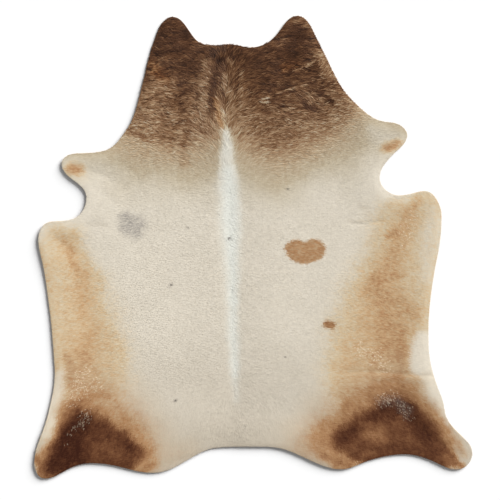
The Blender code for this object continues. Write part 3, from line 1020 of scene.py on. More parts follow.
@dataclass
class Markings:
    """The coat's markings, as fields over the hide.

    The neck's shade grows by taupe_share over its taupe rim, by step_share where the brown starts,
    by brown_share over the first brown_reach of it, and by head_share towards the head. Broad waves
    and fine ones drag the rims about, and a stroke is dragged in full if its rim is whole_pull_fade
    wide or wider. The strokes are laid in their order.
    """

    warp: Noise = field(default_factory=lambda: Noise(SEED + 2))
    strokes: tuple[Stroke, ...] = (
        *NECK_STROKES, *BACK_STROKES, *FLANK_STROKES, *RUMP_STROKES, *SPOT_AND_SHADE_STROKES,
    )
    taupe_share: float = 0.24
    taupe_curve: float = 1.4
    step_share: float = 0.12
    brown_share: float = 0.24
    brown_reach: float = 0.19
    head_share: float = 0.16
    head_from: float = 0.15
    head_reach: float = 0.25
    broad_pull: float = 0.015
    broad_waves: tuple[float, float] = (0.085, 0.07)
    fine_pull: float = 0.005
    fine_waves: tuple[float, float] = (0.028, 0.022)
    shifts: tuple[float, float] = (3.0, 7.0)
    whole_pull_fade: float = 0.05

    def neck_shade(self, x: np.ndarray, y: np.ndarray) -> np.ndarray:
        """The neck's brown, from 0 on the body over taupe and hazel to dark at the head.

        Args:
            x: Places across.
            y: Places along.

        Returns:
            The shade at each place.
        """
        brown = neck_measure(x, "brown_until")
        taupe = neck_measure(x, "taupe_until")
        fade = neck_measure(x, "fade")
        shade = self.taupe_share * np.clip((y - taupe) / (brown - taupe), 0, 1) ** self.taupe_curve
        shade += self.step_share * ease((y - brown) / fade + 0.5)
        shade += self.brown_share * np.clip((y - brown) / self.brown_reach, 0, 1)
        return shade + self.head_share * ease((y - brown - self.head_from) / self.head_reach)

    def stroke_cover(self, stroke: Stroke, x: np.ndarray, y: np.ndarray) -> np.ndarray:
        """How much of a stroke lies on each place.

        Args:
            stroke: The stroke.
            x: Places across.
            y: Places along.

        Returns:
            0 outside the stroke and 1 inside its soft rim.
        """
        outside = np.full(x.shape, np.inf)
        for (ax, ay, ar), (bx, by, br) in zip(stroke.dabs, stroke.dabs[1:]):
            dx, dy = bx - ax, by - ay
            run = max(dx * dx + dy * dy, 1e-12)
            t = np.clip(((x - ax) * dx + (y - ay) * dy) / run, 0, 1)
            away = np.hypot(x - ax - t * dx, y - ay - t * dy) - (ar + t * (br - ar))
            outside = np.minimum(outside, away)
        return ease(0.5 - outside / stroke.fade)

    def drag(self, x: np.ndarray, y: np.ndarray, shift: float) -> np.ndarray:
        """How far the hair drags the markings one way, in broad waves and fine ones."""
        broad = self.broad_pull * self.warp.at(x + shift, y, *self.broad_waves)
        return broad + self.fine_pull * self.warp.at(x, y + shift, *self.fine_waves)

    def read(self, x: np.ndarray, y: np.ndarray) -> dict[Field, np.ndarray]:
        """All fields at some places.

        Args:
            x: Places across.
            y: Places along.

        Returns:
            Each field's values.
        """
        pull = [self.drag(x, y, shift) for shift in self.shifts]
        fields = {kind: np.zeros_like(x) for kind in Field}
        fields[Field.NECK] = self.neck_shade(x + pull[0], y + pull[1])
        # The grey darkens towards the tail; its strokes add painted shade in folds and by the rump's
        # edge.
        fields[Field.GREY_AND_SHADE] = sum(
            step.depth * ease((step.along_from - y) / step.reach) for step in DUSK_STEPS
        )
        for stroke in self.strokes:
            slack = stroke.pull * min(1.0, stroke.fade / self.whole_pull_fade)
            sx, sy = x + slack * pull[0], y + slack * pull[1]
            values = fields[stroke.field]
            values += (stroke.value - values) * self.stroke_cover(stroke, sx, sy)
        return fields

    def nick_cover(self, x: np.ndarray, y: np.ndarray) -> np.ndarray:
        """Where the small scars lie.

        Args:
            x: Places across.
            y: Places along.

        Returns:
            0 beside the scars and up to 1 on them.
        """
        cover = np.zeros_like(x)
        for nick in NICKS:
            away = np.hypot(x - nick.across, y - nick.along) / nick.radius
            cover = np.maximum(cover, np.exp(-away * away))
        return cover


# ---------------------------------------------------------------- finishes


class Blend(Enum):
    """How one colour goes onto another."""

    OVER = "MIX"
    TINT = "MULTIPLY"


class Graph:
    """A material's node tree, with short calls that add nodes."""

    def __init__(self, name: str) -> None:
        """Starts a material with a shader and nothing wired to it.

        Args:
            name: The material's name.
        """
        self.material = bpy.data.materials.new(name)
        self.material.use_nodes = True
        self.tree = self.material.node_tree
        self.shader = self.tree.nodes["Principled BSDF"]

    def add(self, kind: str, **settings: object) -> bpy.types.Node:
        """Adds a node.

        Args:
            kind: The node's type.
            settings: Its settings, by name.

        Returns:
            The node.
        """
        node = self.tree.nodes.new(kind)
        for name, value in settings.items():
            setattr(node, name, value)
        return node

    def feed(self, socket: bpy.types.NodeSocket, value: object) -> None:
        """Wires a socket, or sets it.

        Args:
            socket: The socket.
            value: An output to wire it to, or a number or colour.
        """
        if isinstance(value, bpy.types.NodeSocket):
            self.tree.links.new(value, socket)
        elif isinstance(value, tuple) and socket.type == "RGBA":
            socket.default_value = (*value, 1.0)
        else:
            socket.default_value = value

    def math(self, operation: str, *values: object, clamp: bool = False) -> bpy.types.NodeSocket:
        """Does a sum on numbers.

        Args:
            operation: The sum's name.
            values: Its numbers.
            clamp: True to keep the result from 0 to 1.

        Returns:
            The result.
        """
        node = self.add("ShaderNodeMath", operation=operation, use_clamp=clamp)
        for socket, value in zip(node.inputs, values):
            self.feed(socket, value)
        return node.outputs[0]

    def mix(
        self, factor: object, first: object, second: object, blend: Blend = Blend.OVER,
    ) -> bpy.types.NodeSocket:
        """Puts one colour onto another.

        Args:
            factor: How much of the second colour shows, from 0 to 1.
            first: The colour below.
            second: The colour that goes onto it.
            blend: How it goes on.

        Returns:
            The mixed colour.
        """
        node = self.add(
            "ShaderNodeMix", data_type="RGBA", blend_type=blend.value, clamp_factor=True
        )
        sockets = node.inputs["Factor"], node.inputs[6], node.inputs[7]
        for socket, value in zip(sockets, (factor, first, second)):
            self.feed(socket, value)
        return node.outputs[2]

    def scaled(self, colour: object, factor: object) -> bpy.types.NodeSocket:
        """Makes a colour lighter or darker.

        Args:
            colour: The colour.
            factor: What it is multiplied by.

        Returns:
            The new colour.
        """
        node = self.add("ShaderNodeVectorMath", operation="SCALE")
        self.feed(node.inputs[0], colour)
        self.feed(node.inputs["Scale"], factor)
        return node.outputs[0]

    def ramp(self, factor: object, stops: tuple[tuple[float, Colour], ...]) -> bpy.types.NodeSocket:
        """Reads a colour ramp.

        Args:
            factor: The number that it is read at.
            stops: The ramp's colours, each with its place.

        Returns:
            The colour there.
        """
        node = self.add("ShaderNodeValToRGB")
        elements = node.color_ramp.elements
        while len(elements) < len(stops):
            elements.new(0.5)
        for element, (place, colour) in zip(elements, stops):
            element.position = place
            element.color = (*colour, 1.0)
        self.feed(node.inputs[0], factor)
        return node.outputs[0]

    def noise(self, vector: object, pitch: float, detail: float = 2.0) -> bpy.types.NodeSocket:
        """Smooth noise around 0.5.

        Args:
            vector: The coordinates.
            pitch: The noise's pitch, in metres.
            detail: How many finer layers lie on it.

        Returns:
            The noise.
        """
        node = self.add("ShaderNodeTexNoise", noise_dimensions="3D")
        self.feed(node.inputs["Vector"], vector)
        self.feed(node.inputs["Scale"], 1.0 / pitch)
        self.feed(node.inputs["Detail"], detail)
        return node.outputs[0]

    def stretched(self, vector: object, scale: tuple[float, float, float]) -> bpy.types.NodeSocket:
        """Stretches coordinates.

        Args:
            vector: The coordinates.
            scale: What each of them is multiplied by.

        Returns:
            The new coordinates.
        """
        node = self.add("ShaderNodeMapping")
        self.feed(node.inputs["Vector"], vector)
        node.inputs["Scale"].default_value = scale
        return node.outputs[0]

    def attribute(self, name: str, output: str = "Vector") -> bpy.types.NodeSocket:
        """The mesh's own attribute."""
        return self.add("ShaderNodeAttribute", attribute_name=name).outputs[output]

    def parts(self, vector: object) -> list[bpy.types.NodeSocket]:
        """Takes a vector apart.

        Args:
            vector: The vector.

        Returns:
            Its three parts.
        """
        node = self.add("ShaderNodeSeparateXYZ")
        self.feed(node.inputs[0], vector)
        return list(node.outputs)

    def set(self, **sockets: object) -> None:
        """Sets the shader's own sockets."""
        for name, value in sockets.items():
            self.feed(self.shader.inputs[name.replace("_", " ")], value)

    def bump(self, height: object, distance: float, strength: float = 1.0) -> None:
        """Gives the shader a bump.

        Args:
            height: The pattern that is raised.
            distance: Its height in metres.
            strength: How strongly it shows.
        """
        node = self.add("ShaderNodeBump")
        self.feed(node.inputs["Height"], height)
        node.inputs["Distance"].default_value = distance
        node.inputs["Strength"].default_value = strength
        self.feed(self.shader.inputs["Normal"], node.outputs[0])


class Grade(NamedTuple):
    """How a painted field becomes colour: its shift by each pattern, and how fast it sets in."""

    tone: float
    blotch: float
    stray: float
    onset: float


@dataclass(frozen=True)
class CoatFinish:
    """Short lying cow hair, with the hide's markings."""

    oat_light: Colour = dye(228, 219, 203)
    oat_deep: Colour = dye(215, 206, 189)
    # Grey for the darkening towards the tail, and for painted shade in folds and by the rump's edge.
    grey_and_shade: Colour = dye(180, 168, 149)
    cream: Colour = dye(226, 217, 200)
    chalk: Colour = dye(231, 231, 222)
    warm: Colour = (1.32, 0.98, 0.56)
    roan: Colour = dye(140, 134, 130)
    fleck: Colour = dye(226, 208, 180)
    scar: Colour = dye(110, 102, 96)
    neck_shades: tuple[tuple[float, Colour], ...] = (
        (0.00, dye(209, 199, 178)),
        (0.10, dye(196, 182, 156)),
        (0.25, dye(178, 152, 121)),
        (0.45, dye(147, 113, 82)),
        (0.60, dye(116, 81, 54)),
        (0.75, dye(84, 54, 35)),
        (1.00, dye(42, 24, 14)),
    )
    flank_shades: tuple[tuple[float, Colour], ...] = (
        (0.00, dye(218, 208, 188)),
        (0.36, dye(213, 192, 158)),
        (0.72, dye(200, 165, 124)),
        (1.00, dye(176, 132, 92)),
    )
    rump_shades: tuple[tuple[float, Colour], ...] = (
        (0.00, dye(206, 186, 154)),
        (0.32, dye(177, 135, 95)),
        (0.55, dye(135, 92, 60)),
        (0.78, dye(97, 58, 35)),
        (1.00, dye(57, 25, 11)),
    )
    flank_grade: Grade = Grade(0.07, 0.45, 0.85, 3.0)
    rump_grade: Grade = Grade(0.07, 0.30, 0.38, 3.6)
    cloud_pitch: float = 0.16
    blotch_pitch: float = 0.045
    mottle_pitch: float = 0.015
    streak_scale: tuple[float, float, float] = (46.0, 230.0, 1.0)
    ground_scale: tuple[float, float, float] = (90.0, 1500.0, 1.0)
    neck_calm: tuple[float, float] = (-2.5, 2.6)
    neck_wild: float = 2.4
    neck_streak: float = 2.4
    neck_mottle: float = 0.8
    neck_swing: float = -0.17
    neck_onset: float = 9.0
    roan_cover: float = 0.75
    tone_light: float = 0.05
    stray_light: float = 0.13
    rough: float = 0.60
    stray_rough: float = 0.16

    def graded(
        self, graph: Graph, colour: object, painted: object, grade: Grade,
        shades: tuple[tuple[float, Colour], ...], patterns: tuple[object, object, object],
    ) -> bpy.types.NodeSocket:
        """Lays a painted field's shades over a colour.

        Args:
            graph: The material's nodes.
            colour: The colour below.
            painted: The field.
            grade: How the field becomes colour.
            shades: Its shades, from its thin rim to its middle.
            patterns: The tufts' own lightness with the painted light and shade of the neck's waves,
            the blotches and the stray streaks, each around 0.

        Returns:
            The colour with the field on it.
        """
        tone, blotch, stray = patterns
        depth = graph.math("MULTIPLY_ADD", blotch, grade.blotch, painted)
        depth = graph.math("MULTIPLY_ADD", tone, grade.tone, depth)
        depth = graph.math("MULTIPLY_ADD", stray, grade.stray, depth)
        cover = graph.math("MULTIPLY", painted, grade.onset, clamp=True)
        return graph.mix(cover, colour, graph.ramp(depth, shades))

    def material(self, name: str, tufted: bool) -> bpy.types.Material:
        """The coat's material.

        Args:
            name: The material's name.
            tufted: True on tufts, which carry their own lightness with painted light and shade, and
            False on the ground under them.

        Returns:
            The material.
        """
        graph = Graph(name)
        place = graph.attribute("place")
        neck, flank, rump = graph.parts(graph.attribute("shades"))
        cream, chalk, fleck = graph.parts(graph.attribute("lights"))
        tan, roan, grey_and_shade = graph.parts(graph.attribute("spots_and_shade"))
        # The tufts' own lightness, with painted light and shade of the neck's waves and wrinkles.
        tone = graph.attribute("tone", "Fac")
        strand = graph.add("ShaderNodeUVMap", uv_map="Strand").outputs[0]
        clouds = graph.noise(place, self.cloud_pitch, 3.0)
        blotch = graph.math("SUBTRACT", graph.noise(place, self.blotch_pitch, 3.0), 0.5)
        mottle = graph.math("SUBTRACT", graph.noise(place, self.mottle_pitch, 2.0), 0.5)
        streak = graph.noise(graph.stretched(strand, self.streak_scale), 1.0, 2.0)
        streak = graph.math("SUBTRACT", streak, 0.5)
        stray = graph.math("ADD", mottle, streak)
        patterns = tone, blotch, stray

        colour = graph.mix(clouds, self.oat_deep, self.oat_light)
        # Darker towards the tail, with painted shade in the folds, the armpit and by the rump's edge.
        colour = graph.mix(grey_and_shade, colour, self.grey_and_shade)
        colour = self.graded(graph, colour, flank, self.flank_grade, self.flank_shades, patterns)
        colour = self.graded(graph, colour, rump, self.rump_grade, self.rump_shades, patterns)
        colour = graph.mix(cream, colour, self.cream)
        calmer = graph.math("MULTIPLY_ADD", neck, *self.neck_calm, clamp=True)
        wild = graph.math("MULTIPLY", neck, self.neck_wild, clamp=True)
        wild = graph.math("MULTIPLY", wild, calmer)
        swing = graph.math("MULTIPLY_ADD", mottle, self.neck_mottle, tone)
        swing = graph.math("MULTIPLY_ADD", streak, self.neck_streak, swing)
        swing = graph.math("MULTIPLY", swing, wild)
        brown = graph.math("MULTIPLY_ADD", swing, self.neck_swing, neck)
        cover = graph.math("MULTIPLY", neck, self.neck_onset, clamp=True)
        colour = graph.mix(cover, colour, graph.ramp(brown, self.neck_shades))
        colour = graph.mix(chalk, colour, self.chalk)
        colour = graph.mix(graph.math("MULTIPLY", roan, self.roan_cover), colour, self.roan)
        colour = graph.mix(tan, colour, self.warm, Blend.TINT)
        colour = graph.mix(fleck, colour, self.fleck)
        colour = graph.mix(graph.attribute("nick", "Fac"), colour, self.scar)
        light = graph.math("MULTIPLY_ADD", tone, self.tone_light, 1.0)
        light = graph.math("MULTIPLY_ADD", stray, self.stray_light, light)
        graph.set(
            Base_Color=graph.scaled(colour, light),
            Roughness=graph.math("MULTIPLY_ADD", stray, self.stray_rough, self.rough),
            Sheen_Weight=0.04,
            Sheen_Roughness=0.45,
            Specular_IOR_Level=0.12,
        )
        if not tufted:
            hairs = graph.noise(graph.stretched(strand, self.ground_scale), 1.0, 2.0)
            graph.bump(hairs, 0.0010, 0.6)
        return graph.material


@dataclass(frozen=True)
class SuedeFinish:
    """The hide's flesh side, buffed to a pale suede."""

    pale: Colour = dye(196, 172, 138)
    deep: Colour = dye(160, 130, 96)
    vein: Colour = dye(142, 110, 78)
    cloud_pitch: float = 0.20
    nap_pitch: float = 0.004
    vein_pitch: float = 0.16
    vein_gaps: float = 0.09
    vein_thinness: float = 30.0
    vein_cover: float = 0.22

    def material(self) -> bpy.types.Material:
        """Makes a soft uneven nap with faint veins.

        Returns:
            The material.
        """
        graph = Graph("suede")
        place = graph.add("ShaderNodeTexCoord").outputs["Object"]
        clouds = graph.noise(place, self.cloud_pitch, 4.0)
        nap = graph.noise(place, self.nap_pitch, 3.0)
        veins = graph.noise(place, self.vein_pitch, 1.0)
        thin = graph.math("ABSOLUTE", graph.math("SUBTRACT", veins, 0.5))
        thin = graph.math("MULTIPLY", thin, self.vein_thinness, clamp=True)
        thin = graph.math("SUBTRACT", 1.0, thin)
        thin = graph.math("MULTIPLY", thin, graph.noise(place, self.vein_gaps, 1.0))
        colour = graph.mix(clouds, self.deep, self.pale)
        colour = graph.mix(graph.math("MULTIPLY", thin, self.vein_cover), colour, self.vein)
        graph.set(
            Base_Color=graph.scaled(colour, graph.math("MULTIPLY_ADD", nap, 0.24, 0.88)),
            Roughness=graph.math("MULTIPLY_ADD", nap, 0.10, 0.86),
            Sheen_Weight=0.25,
            Sheen_Roughness=0.5,
            Specular_IOR_Level=0.2,
        )
        graph.bump(graph.math("MULTIPLY_ADD", thin, 0.4, nap), 0.0005, 0.7)
        return graph.material


@dataclass(frozen=True)
class CutEdgeFinish:
    """The trimmed edge, where the tanned core of the leather shows."""

    core: Colour = dye(182, 158, 126)
    fibre: Colour = dye(128, 98, 68)
    layer_scale: tuple[float, float, float] = (60.0, 60.0, 1800.0)
    speck_pitch: float = 0.006

    def material(self) -> bpy.types.Material:
        """Makes layered fibres that run round the edge.

        Returns:
            The material.
        """
        graph = Graph("cut_edge")
        place = graph.add("ShaderNodeTexCoord").outputs["Object"]
        layers = graph.noise(graph.stretched(place, self.layer_scale), 1.0, 3.0)
        specks = graph.noise(place, self.speck_pitch, 2.0)
        grain = graph.math("MULTIPLY", layers, 0.5)
        grain = graph.math("MULTIPLY_ADD", specks, 0.5, grain)
        colour = graph.mix(grain, self.fibre, self.core)
        graph.set(
            Base_Color=colour,
            Roughness=graph.math("MULTIPLY_ADD", layers, 0.15, 0.76),
            Specular_IOR_Level=0.25,
        )
        graph.bump(layers, 0.0003, 0.8)
        return graph.material


@dataclass(frozen=True)
class FloorFinish:
    """A plain, nearly white studio floor."""

    white: Colour = (0.93, 0.93, 0.93)

    def material(self) -> bpy.types.Material:
        """Makes it matt, with hardly any gloss.

        Returns:
            The material.
        """
        graph = Graph("studio_floor")
        graph.set(Base_Color=self.white, Roughness=0.9, Specular_IOR_Level=0.1)
        return graph.material


# ---------------------------------------------------------------- the pieces


@dataclass
class Painter:
    """Writes the markings into a mesh, as the attributes that the coat's finish reads.

    Attributes:
        markings: The markings.
        lie: Which way the hair lies.
        far_side: How far the hair map of the right half is moved off that of the left.
    """

    markings: Markings
    lie: HairLie
    far_side: float = 4.0

    def paint(
        self, mesh: bpy.types.Mesh, place: np.ndarray, fields: dict[Field, np.ndarray],
        tone: np.ndarray, nick: np.ndarray,
    ) -> None:
        """Stores the fields.

        Args:
            mesh: The mesh.
            place: Each corner's place that patterns are read at.
            fields: Each corner's painted fields.
            tone: Each corner's own lightness with painted light and shade, around 0.
            nick: Each corner's share of scar.
        """
        sets = {
            "place": place,
            "shades": np.stack([fields[Field.NECK], fields[Field.FLANK], fields[Field.RUMP]], 1),
            "lights": np.stack([fields[Field.CREAM], fields[Field.CHALK], fields[Field.FLECK]], 1),
            # Tan, roan, and grey that is partly painted shade in folds, the armpit and by the rump's
            # edge.
            "spots_and_shade": np.stack([fields[Field.TAN], fields[Field.ROAN], fields[Field.GREY_AND_SHADE]], 1),
        }
        for name, values in sets.items():
            layer = mesh.attributes.new(name, "FLOAT_VECTOR", "POINT")
            layer.data.foreach_set("vector", values.astype(np.float32).ravel())
        for name, values in (("tone", tone), ("nick", nick)):
            layer = mesh.attributes.new(name, "FLOAT", "POINT")
            layer.data.foreach_set("value", values.astype(np.float32))

    def lay_strands(self, mesh: bpy.types.Mesh, x: np.ndarray, y: np.ndarray) -> None:
        """Adds the UV map that runs along and across the hair, in metres.

        Args:
            mesh: The mesh.
            x: Its points' places across.
            y: Their places along.
        """
        vertex = np.empty(len(mesh.loops), np.int32)
        mesh.loops.foreach_get("vertex_index", vertex)
        out, across = self.lie.stream(x, y)
        side = np.where(x >= self.lie.back(y), self.far_side, 0.0)
        strand = np.stack([out + side, across], 1)[vertex]
        mesh.uv_layers.new(name="Strand").uv.foreach_set("vector", strand.astype(np.float32).ravel())


class Side(IntEnum):
    """The skin's faces, by the slot of their finish."""

    HAIR = 0
    FLESH = 1
    CUT = 2


@dataclass
class Skin:
    """The leather: one closed sheet with the hide's edge.

    Attributes:
        edge: The hide's edge.
        relief: Its heights.
        painter: Its markings.
        pitch: Pitch of the sheet's grid.
        rounding: How far the cut edge is rounded.
        blank: Thickness of the sheet before it gets its heights.
        snap: A cut this near to a corner goes through it.
        ground_roan: Share of the roan that shows on the ground under the hair.
    """

    edge: HideEdge
    relief: Relief
    painter: Painter
    pitch: float = 0.012
    rounding: float = 0.0006
    blank: float = 0.002
    snap: float = 0.0015
    ground_roan: float = 0.6

    def build(self) -> bpy.types.Object:
        """Cuts the sheet out, gives it its thickness and dresses it.

        Returns:
            The skin.
        """
        mesh = bmesh.new()
        corners = [mesh.verts.new((x, y, 0.0)) for x, y in self.edge.loop]
        mesh.faces.new(corners)
        self.cut_grid(mesh)
        self.thicken(mesh)
        data = bpy.data.meshes.new("skin")
        mesh.to_mesh(data)
        mesh.free()
        data.shade_smooth()
        for material in (
            CoatFinish().material("coat_ground", tufted=False),
            SuedeFinish().material(),
            CutEdgeFinish().material(),
        ):
            data.materials.append(material)
        self.dress(data)
        skin = bpy.data.objects.new("skin", data)
        bpy.context.scene.collection.objects.link(skin)
        return skin

    def cut_grid(self, mesh: bmesh.types.BMesh) -> None:
        """Cuts the flat outline into a grid, first into rows and then into columns.

        Args:
            mesh: The sheet.
        """
        low, high = self.edge.loop.min(0), self.edge.loop.max(0)
        for axis in (1, 0):
            normal = Vector((0, 0, 0))
            normal[axis] = 1.0
            for place in np.arange(low[axis] + self.pitch, high[axis], self.pitch):
                point = Vector((0, 0, 0))
                point[axis] = place
                bmesh.ops.bisect_plane(
                    mesh, geom=[*mesh.verts, *mesh.edges, *mesh.faces],
                    dist=self.snap, plane_co=point, plane_no=normal,
                )

    def thicken(self, mesh: bmesh.types.BMesh) -> None:
        """Raises the sheet off its underside and rounds its cut edge.

        Args:
            mesh: The sheet.
        """
        mesh.normal_update()
        if mesh.faces[:][0].normal.z > 0:
            bmesh.ops.reverse_faces(mesh, faces=mesh.faces[:])
        raised = bmesh.ops.extrude_face_region(mesh, geom=mesh.faces[:], use_keep_orig=True)["geom"]
        above = [item for item in raised if isinstance(item, bmesh.types.BMVert)]
        bmesh.ops.translate(mesh, verts=above, vec=(0, 0, self.blank))
        bmesh.ops.recalc_face_normals(mesh, faces=mesh.faces[:])
        mesh.normal_update()
        for face in mesh.faces:
            up = face.normal.z
            face.material_index = Side.HAIR if up > 0.5 else Side.FLESH if up < -0.5 else Side.CUT
        rim = [
            line for line in mesh.edges
            if len({face.material_index == Side.CUT for face in line.link_faces}) == 2
        ]
        rounded = bmesh.ops.bevel(
            mesh, geom=rim, offset=self.rounding, offset_type="OFFSET", segments=2,
            profile=0.5, affect="EDGES", material=-1, clamp_overlap=True,
        )
        for face in rounded["faces"]:
            face.material_index = Side.CUT
        xy = np.array([corner.co[:] for corner in mesh.verts])
        under = self.relief.underside(xy[:, 0], xy[:, 1])
        thick = self.relief.ground(xy[:, 0], xy[:, 1]) - under
        share = np.clip(xy[:, 2] / self.blank, 0, 1)
        for corner, z in zip(mesh.verts, under + share * thick):
            corner.co.z = z
        mesh.normal_update()

    def dress(self, data: bpy.types.Mesh) -> None:
        """Paints the markings on the side that carries the hair.

        Args:
            data: The sheet's mesh.
        """
        co = np.empty(len(data.vertices) * 3, np.float32)
        data.vertices.foreach_get("co", co)
        x, y = co.reshape(-1, 3)[:, :2].astype(float).T
        fields = self.painter.markings.read(x, y)
        fields[Field.FLECK] = np.zeros_like(x)
        fields[Field.ROAN] = fields[Field.ROAN] * self.ground_roan
        nick = self.painter.markings.nick_cover(x, y)
        self.painter.paint(data, np.stack([x, y, 0 * x], 1), fields, 0 * x, nick)
        self.painter.lay_strands(data, x, y)


class TuftShape:
    """One tuft of hair: a closed three-sided blade, lying with its ridge up.

    Its corners are kept as shares: how far along, across and up they lie. A long tuft's waist is
    where it is cut across, and the two girths are its widths there and at the root.
    """

    ROOT: float = -0.45
    ROOT_GIRTH: float = 0.75
    WAIST: float = -0.05
    WAIST_GIRTH: float = 1.6

    def __init__(self, waisted: bool) -> None:
        """Makes the blade.

        Args:
            waisted: True for a long tuft, which is cut once across so that it can bend.
        """
        mesh = bmesh.new()
        bmesh.ops.create_cone(mesh, cap_ends=True, segments=3, radius1=1.0, radius2=0.0, depth=1.0)
        bmesh.ops.remove_doubles(mesh, verts=mesh.verts, dist=1e-4)
        if waisted:
            cut = bmesh.ops.bisect_plane(
                mesh, geom=[*mesh.verts, *mesh.edges, *mesh.faces],
                plane_co=(0, 0, self.WAIST), plane_no=(0, 0, 1),
            )["geom_cut"]
            ring = [item for item in cut if isinstance(item, bmesh.types.BMVert)]
            bmesh.ops.scale(mesh, verts=ring, vec=(self.WAIST_GIRTH, self.WAIST_GIRTH, 1.0))
            root = [corner for corner in mesh.verts if corner.co.z < self.ROOT]
            bmesh.ops.scale(mesh, verts=root, vec=(self.ROOT_GIRTH, self.ROOT_GIRTH, 1.0))
        bmesh.ops.triangulate(mesh, faces=mesh.faces[:])
        bmesh.ops.recalc_face_normals(mesh, faces=mesh.faces[:])
        mesh.verts.index_update()
        co = np.array([corner.co[:] for corner in mesh.verts])
        self.along = co[:, 2] + 0.5
        self.across = co[:, 0] / math.sqrt(3)
        self.up = (co[:, 1] + 0.5 * np.linalg.norm(co[:, :2], axis=1)) / 1.5
        self.faces = np.array([[corner.index for corner in face.verts] for face in mesh.faces])
        mesh.free()


@dataclass
class TuftSize:
    """Sizes of a kind of tuft, in metres.

    Attributes:
        length: From root to tip.
        width: Its width.
        ridge: Height of its ridge.
        sway: How far its tip bends aside.
        spread: How unevenly the tufts point, as an angle.
    """

    length: float
    width: float
    ridge: float
    sway: float
    spread: float


class LaidTufts(NamedTuple):
    """Tufts on the hide: their points, and each one's place, fields, tone and scar."""

    points: np.ndarray
    place: np.ndarray
    fields: dict[Field, np.ndarray]
    # Each tuft's own lightness, with painted light and shade of the neck's waves and wrinkles.
    tone: np.ndarray
    nick: np.ndarray


@dataclass
class Tousle:
    """How unevenly the hair lies. A pair is a range that each tuft draws from, or two pitches.

    The ripples or waves, the slow swells, the wrinkles and the turns, where the hair turns
    aside, have their pitches along the hair and across it. On the neck each tuft is painted
    lighter on the waves' crests, where the tips rise, and darker in their troughs and in the
    wrinkles, where the tips dip: painted light and shade of the coat's relief, over each tuft's
    own random lightness. What ends on shaggy is added on the neck, and what ends on sleek on the
    body. Beds are the roots' heights in the coat, tips how far the tips rise on the neck, and reads
    where along a tuft, around its middle, the markings are read. Stray and blur say how far aside
    its heading and its markings are read.
    """

    waves: tuple[float, float] = (0.026, 0.0034)
    swells: tuple[float, float] = (0.11, 0.018)
    wrinkles: tuple[float, float] = (0.060, 0.011)
    wrinkle_width: float = 0.13
    turns: tuple[float, float] = (0.05, 0.035)
    turn_least: float = 0.10
    turn_shaggy: float = 0.28
    tone_own: float = 0.45
    tone_shaggy: float = 0.15
    wave_light_and_shade: float = 1.40
    tone_swells: float = 0.35
    wrinkle_shade: float = 0.80
    stray: float = 0.004
    stray_sleek: float = 0.007
    lengths: tuple[float, float] = (0.78, 1.22)
    longer: float = 0.25
    girths: tuple[float, float] = (0.8, 1.2)
    beds: tuple[float, float] = (0.35, 0.85)
    bed_sunk: float = 0.66
    tip_least: float = 0.10
    tips: tuple[float, float] = (0.46, 0.66)
    tip_waves: float = 0.30
    tip_wrinkles: float = 0.20
    tip_curve: float = 0.85
    sunk: float = 0.0002
    droop: float = 0.30
    blur: float = 0.0015
    blur_sleek: float = 0.0010
    reads: tuple[float, float] = (-0.35, 0.35)
    lights: tuple[float, float] = (0.30, 1.0)
    light_dimmed: float = 0.74
    roans: tuple[float, float] = (0.15, 1.1)


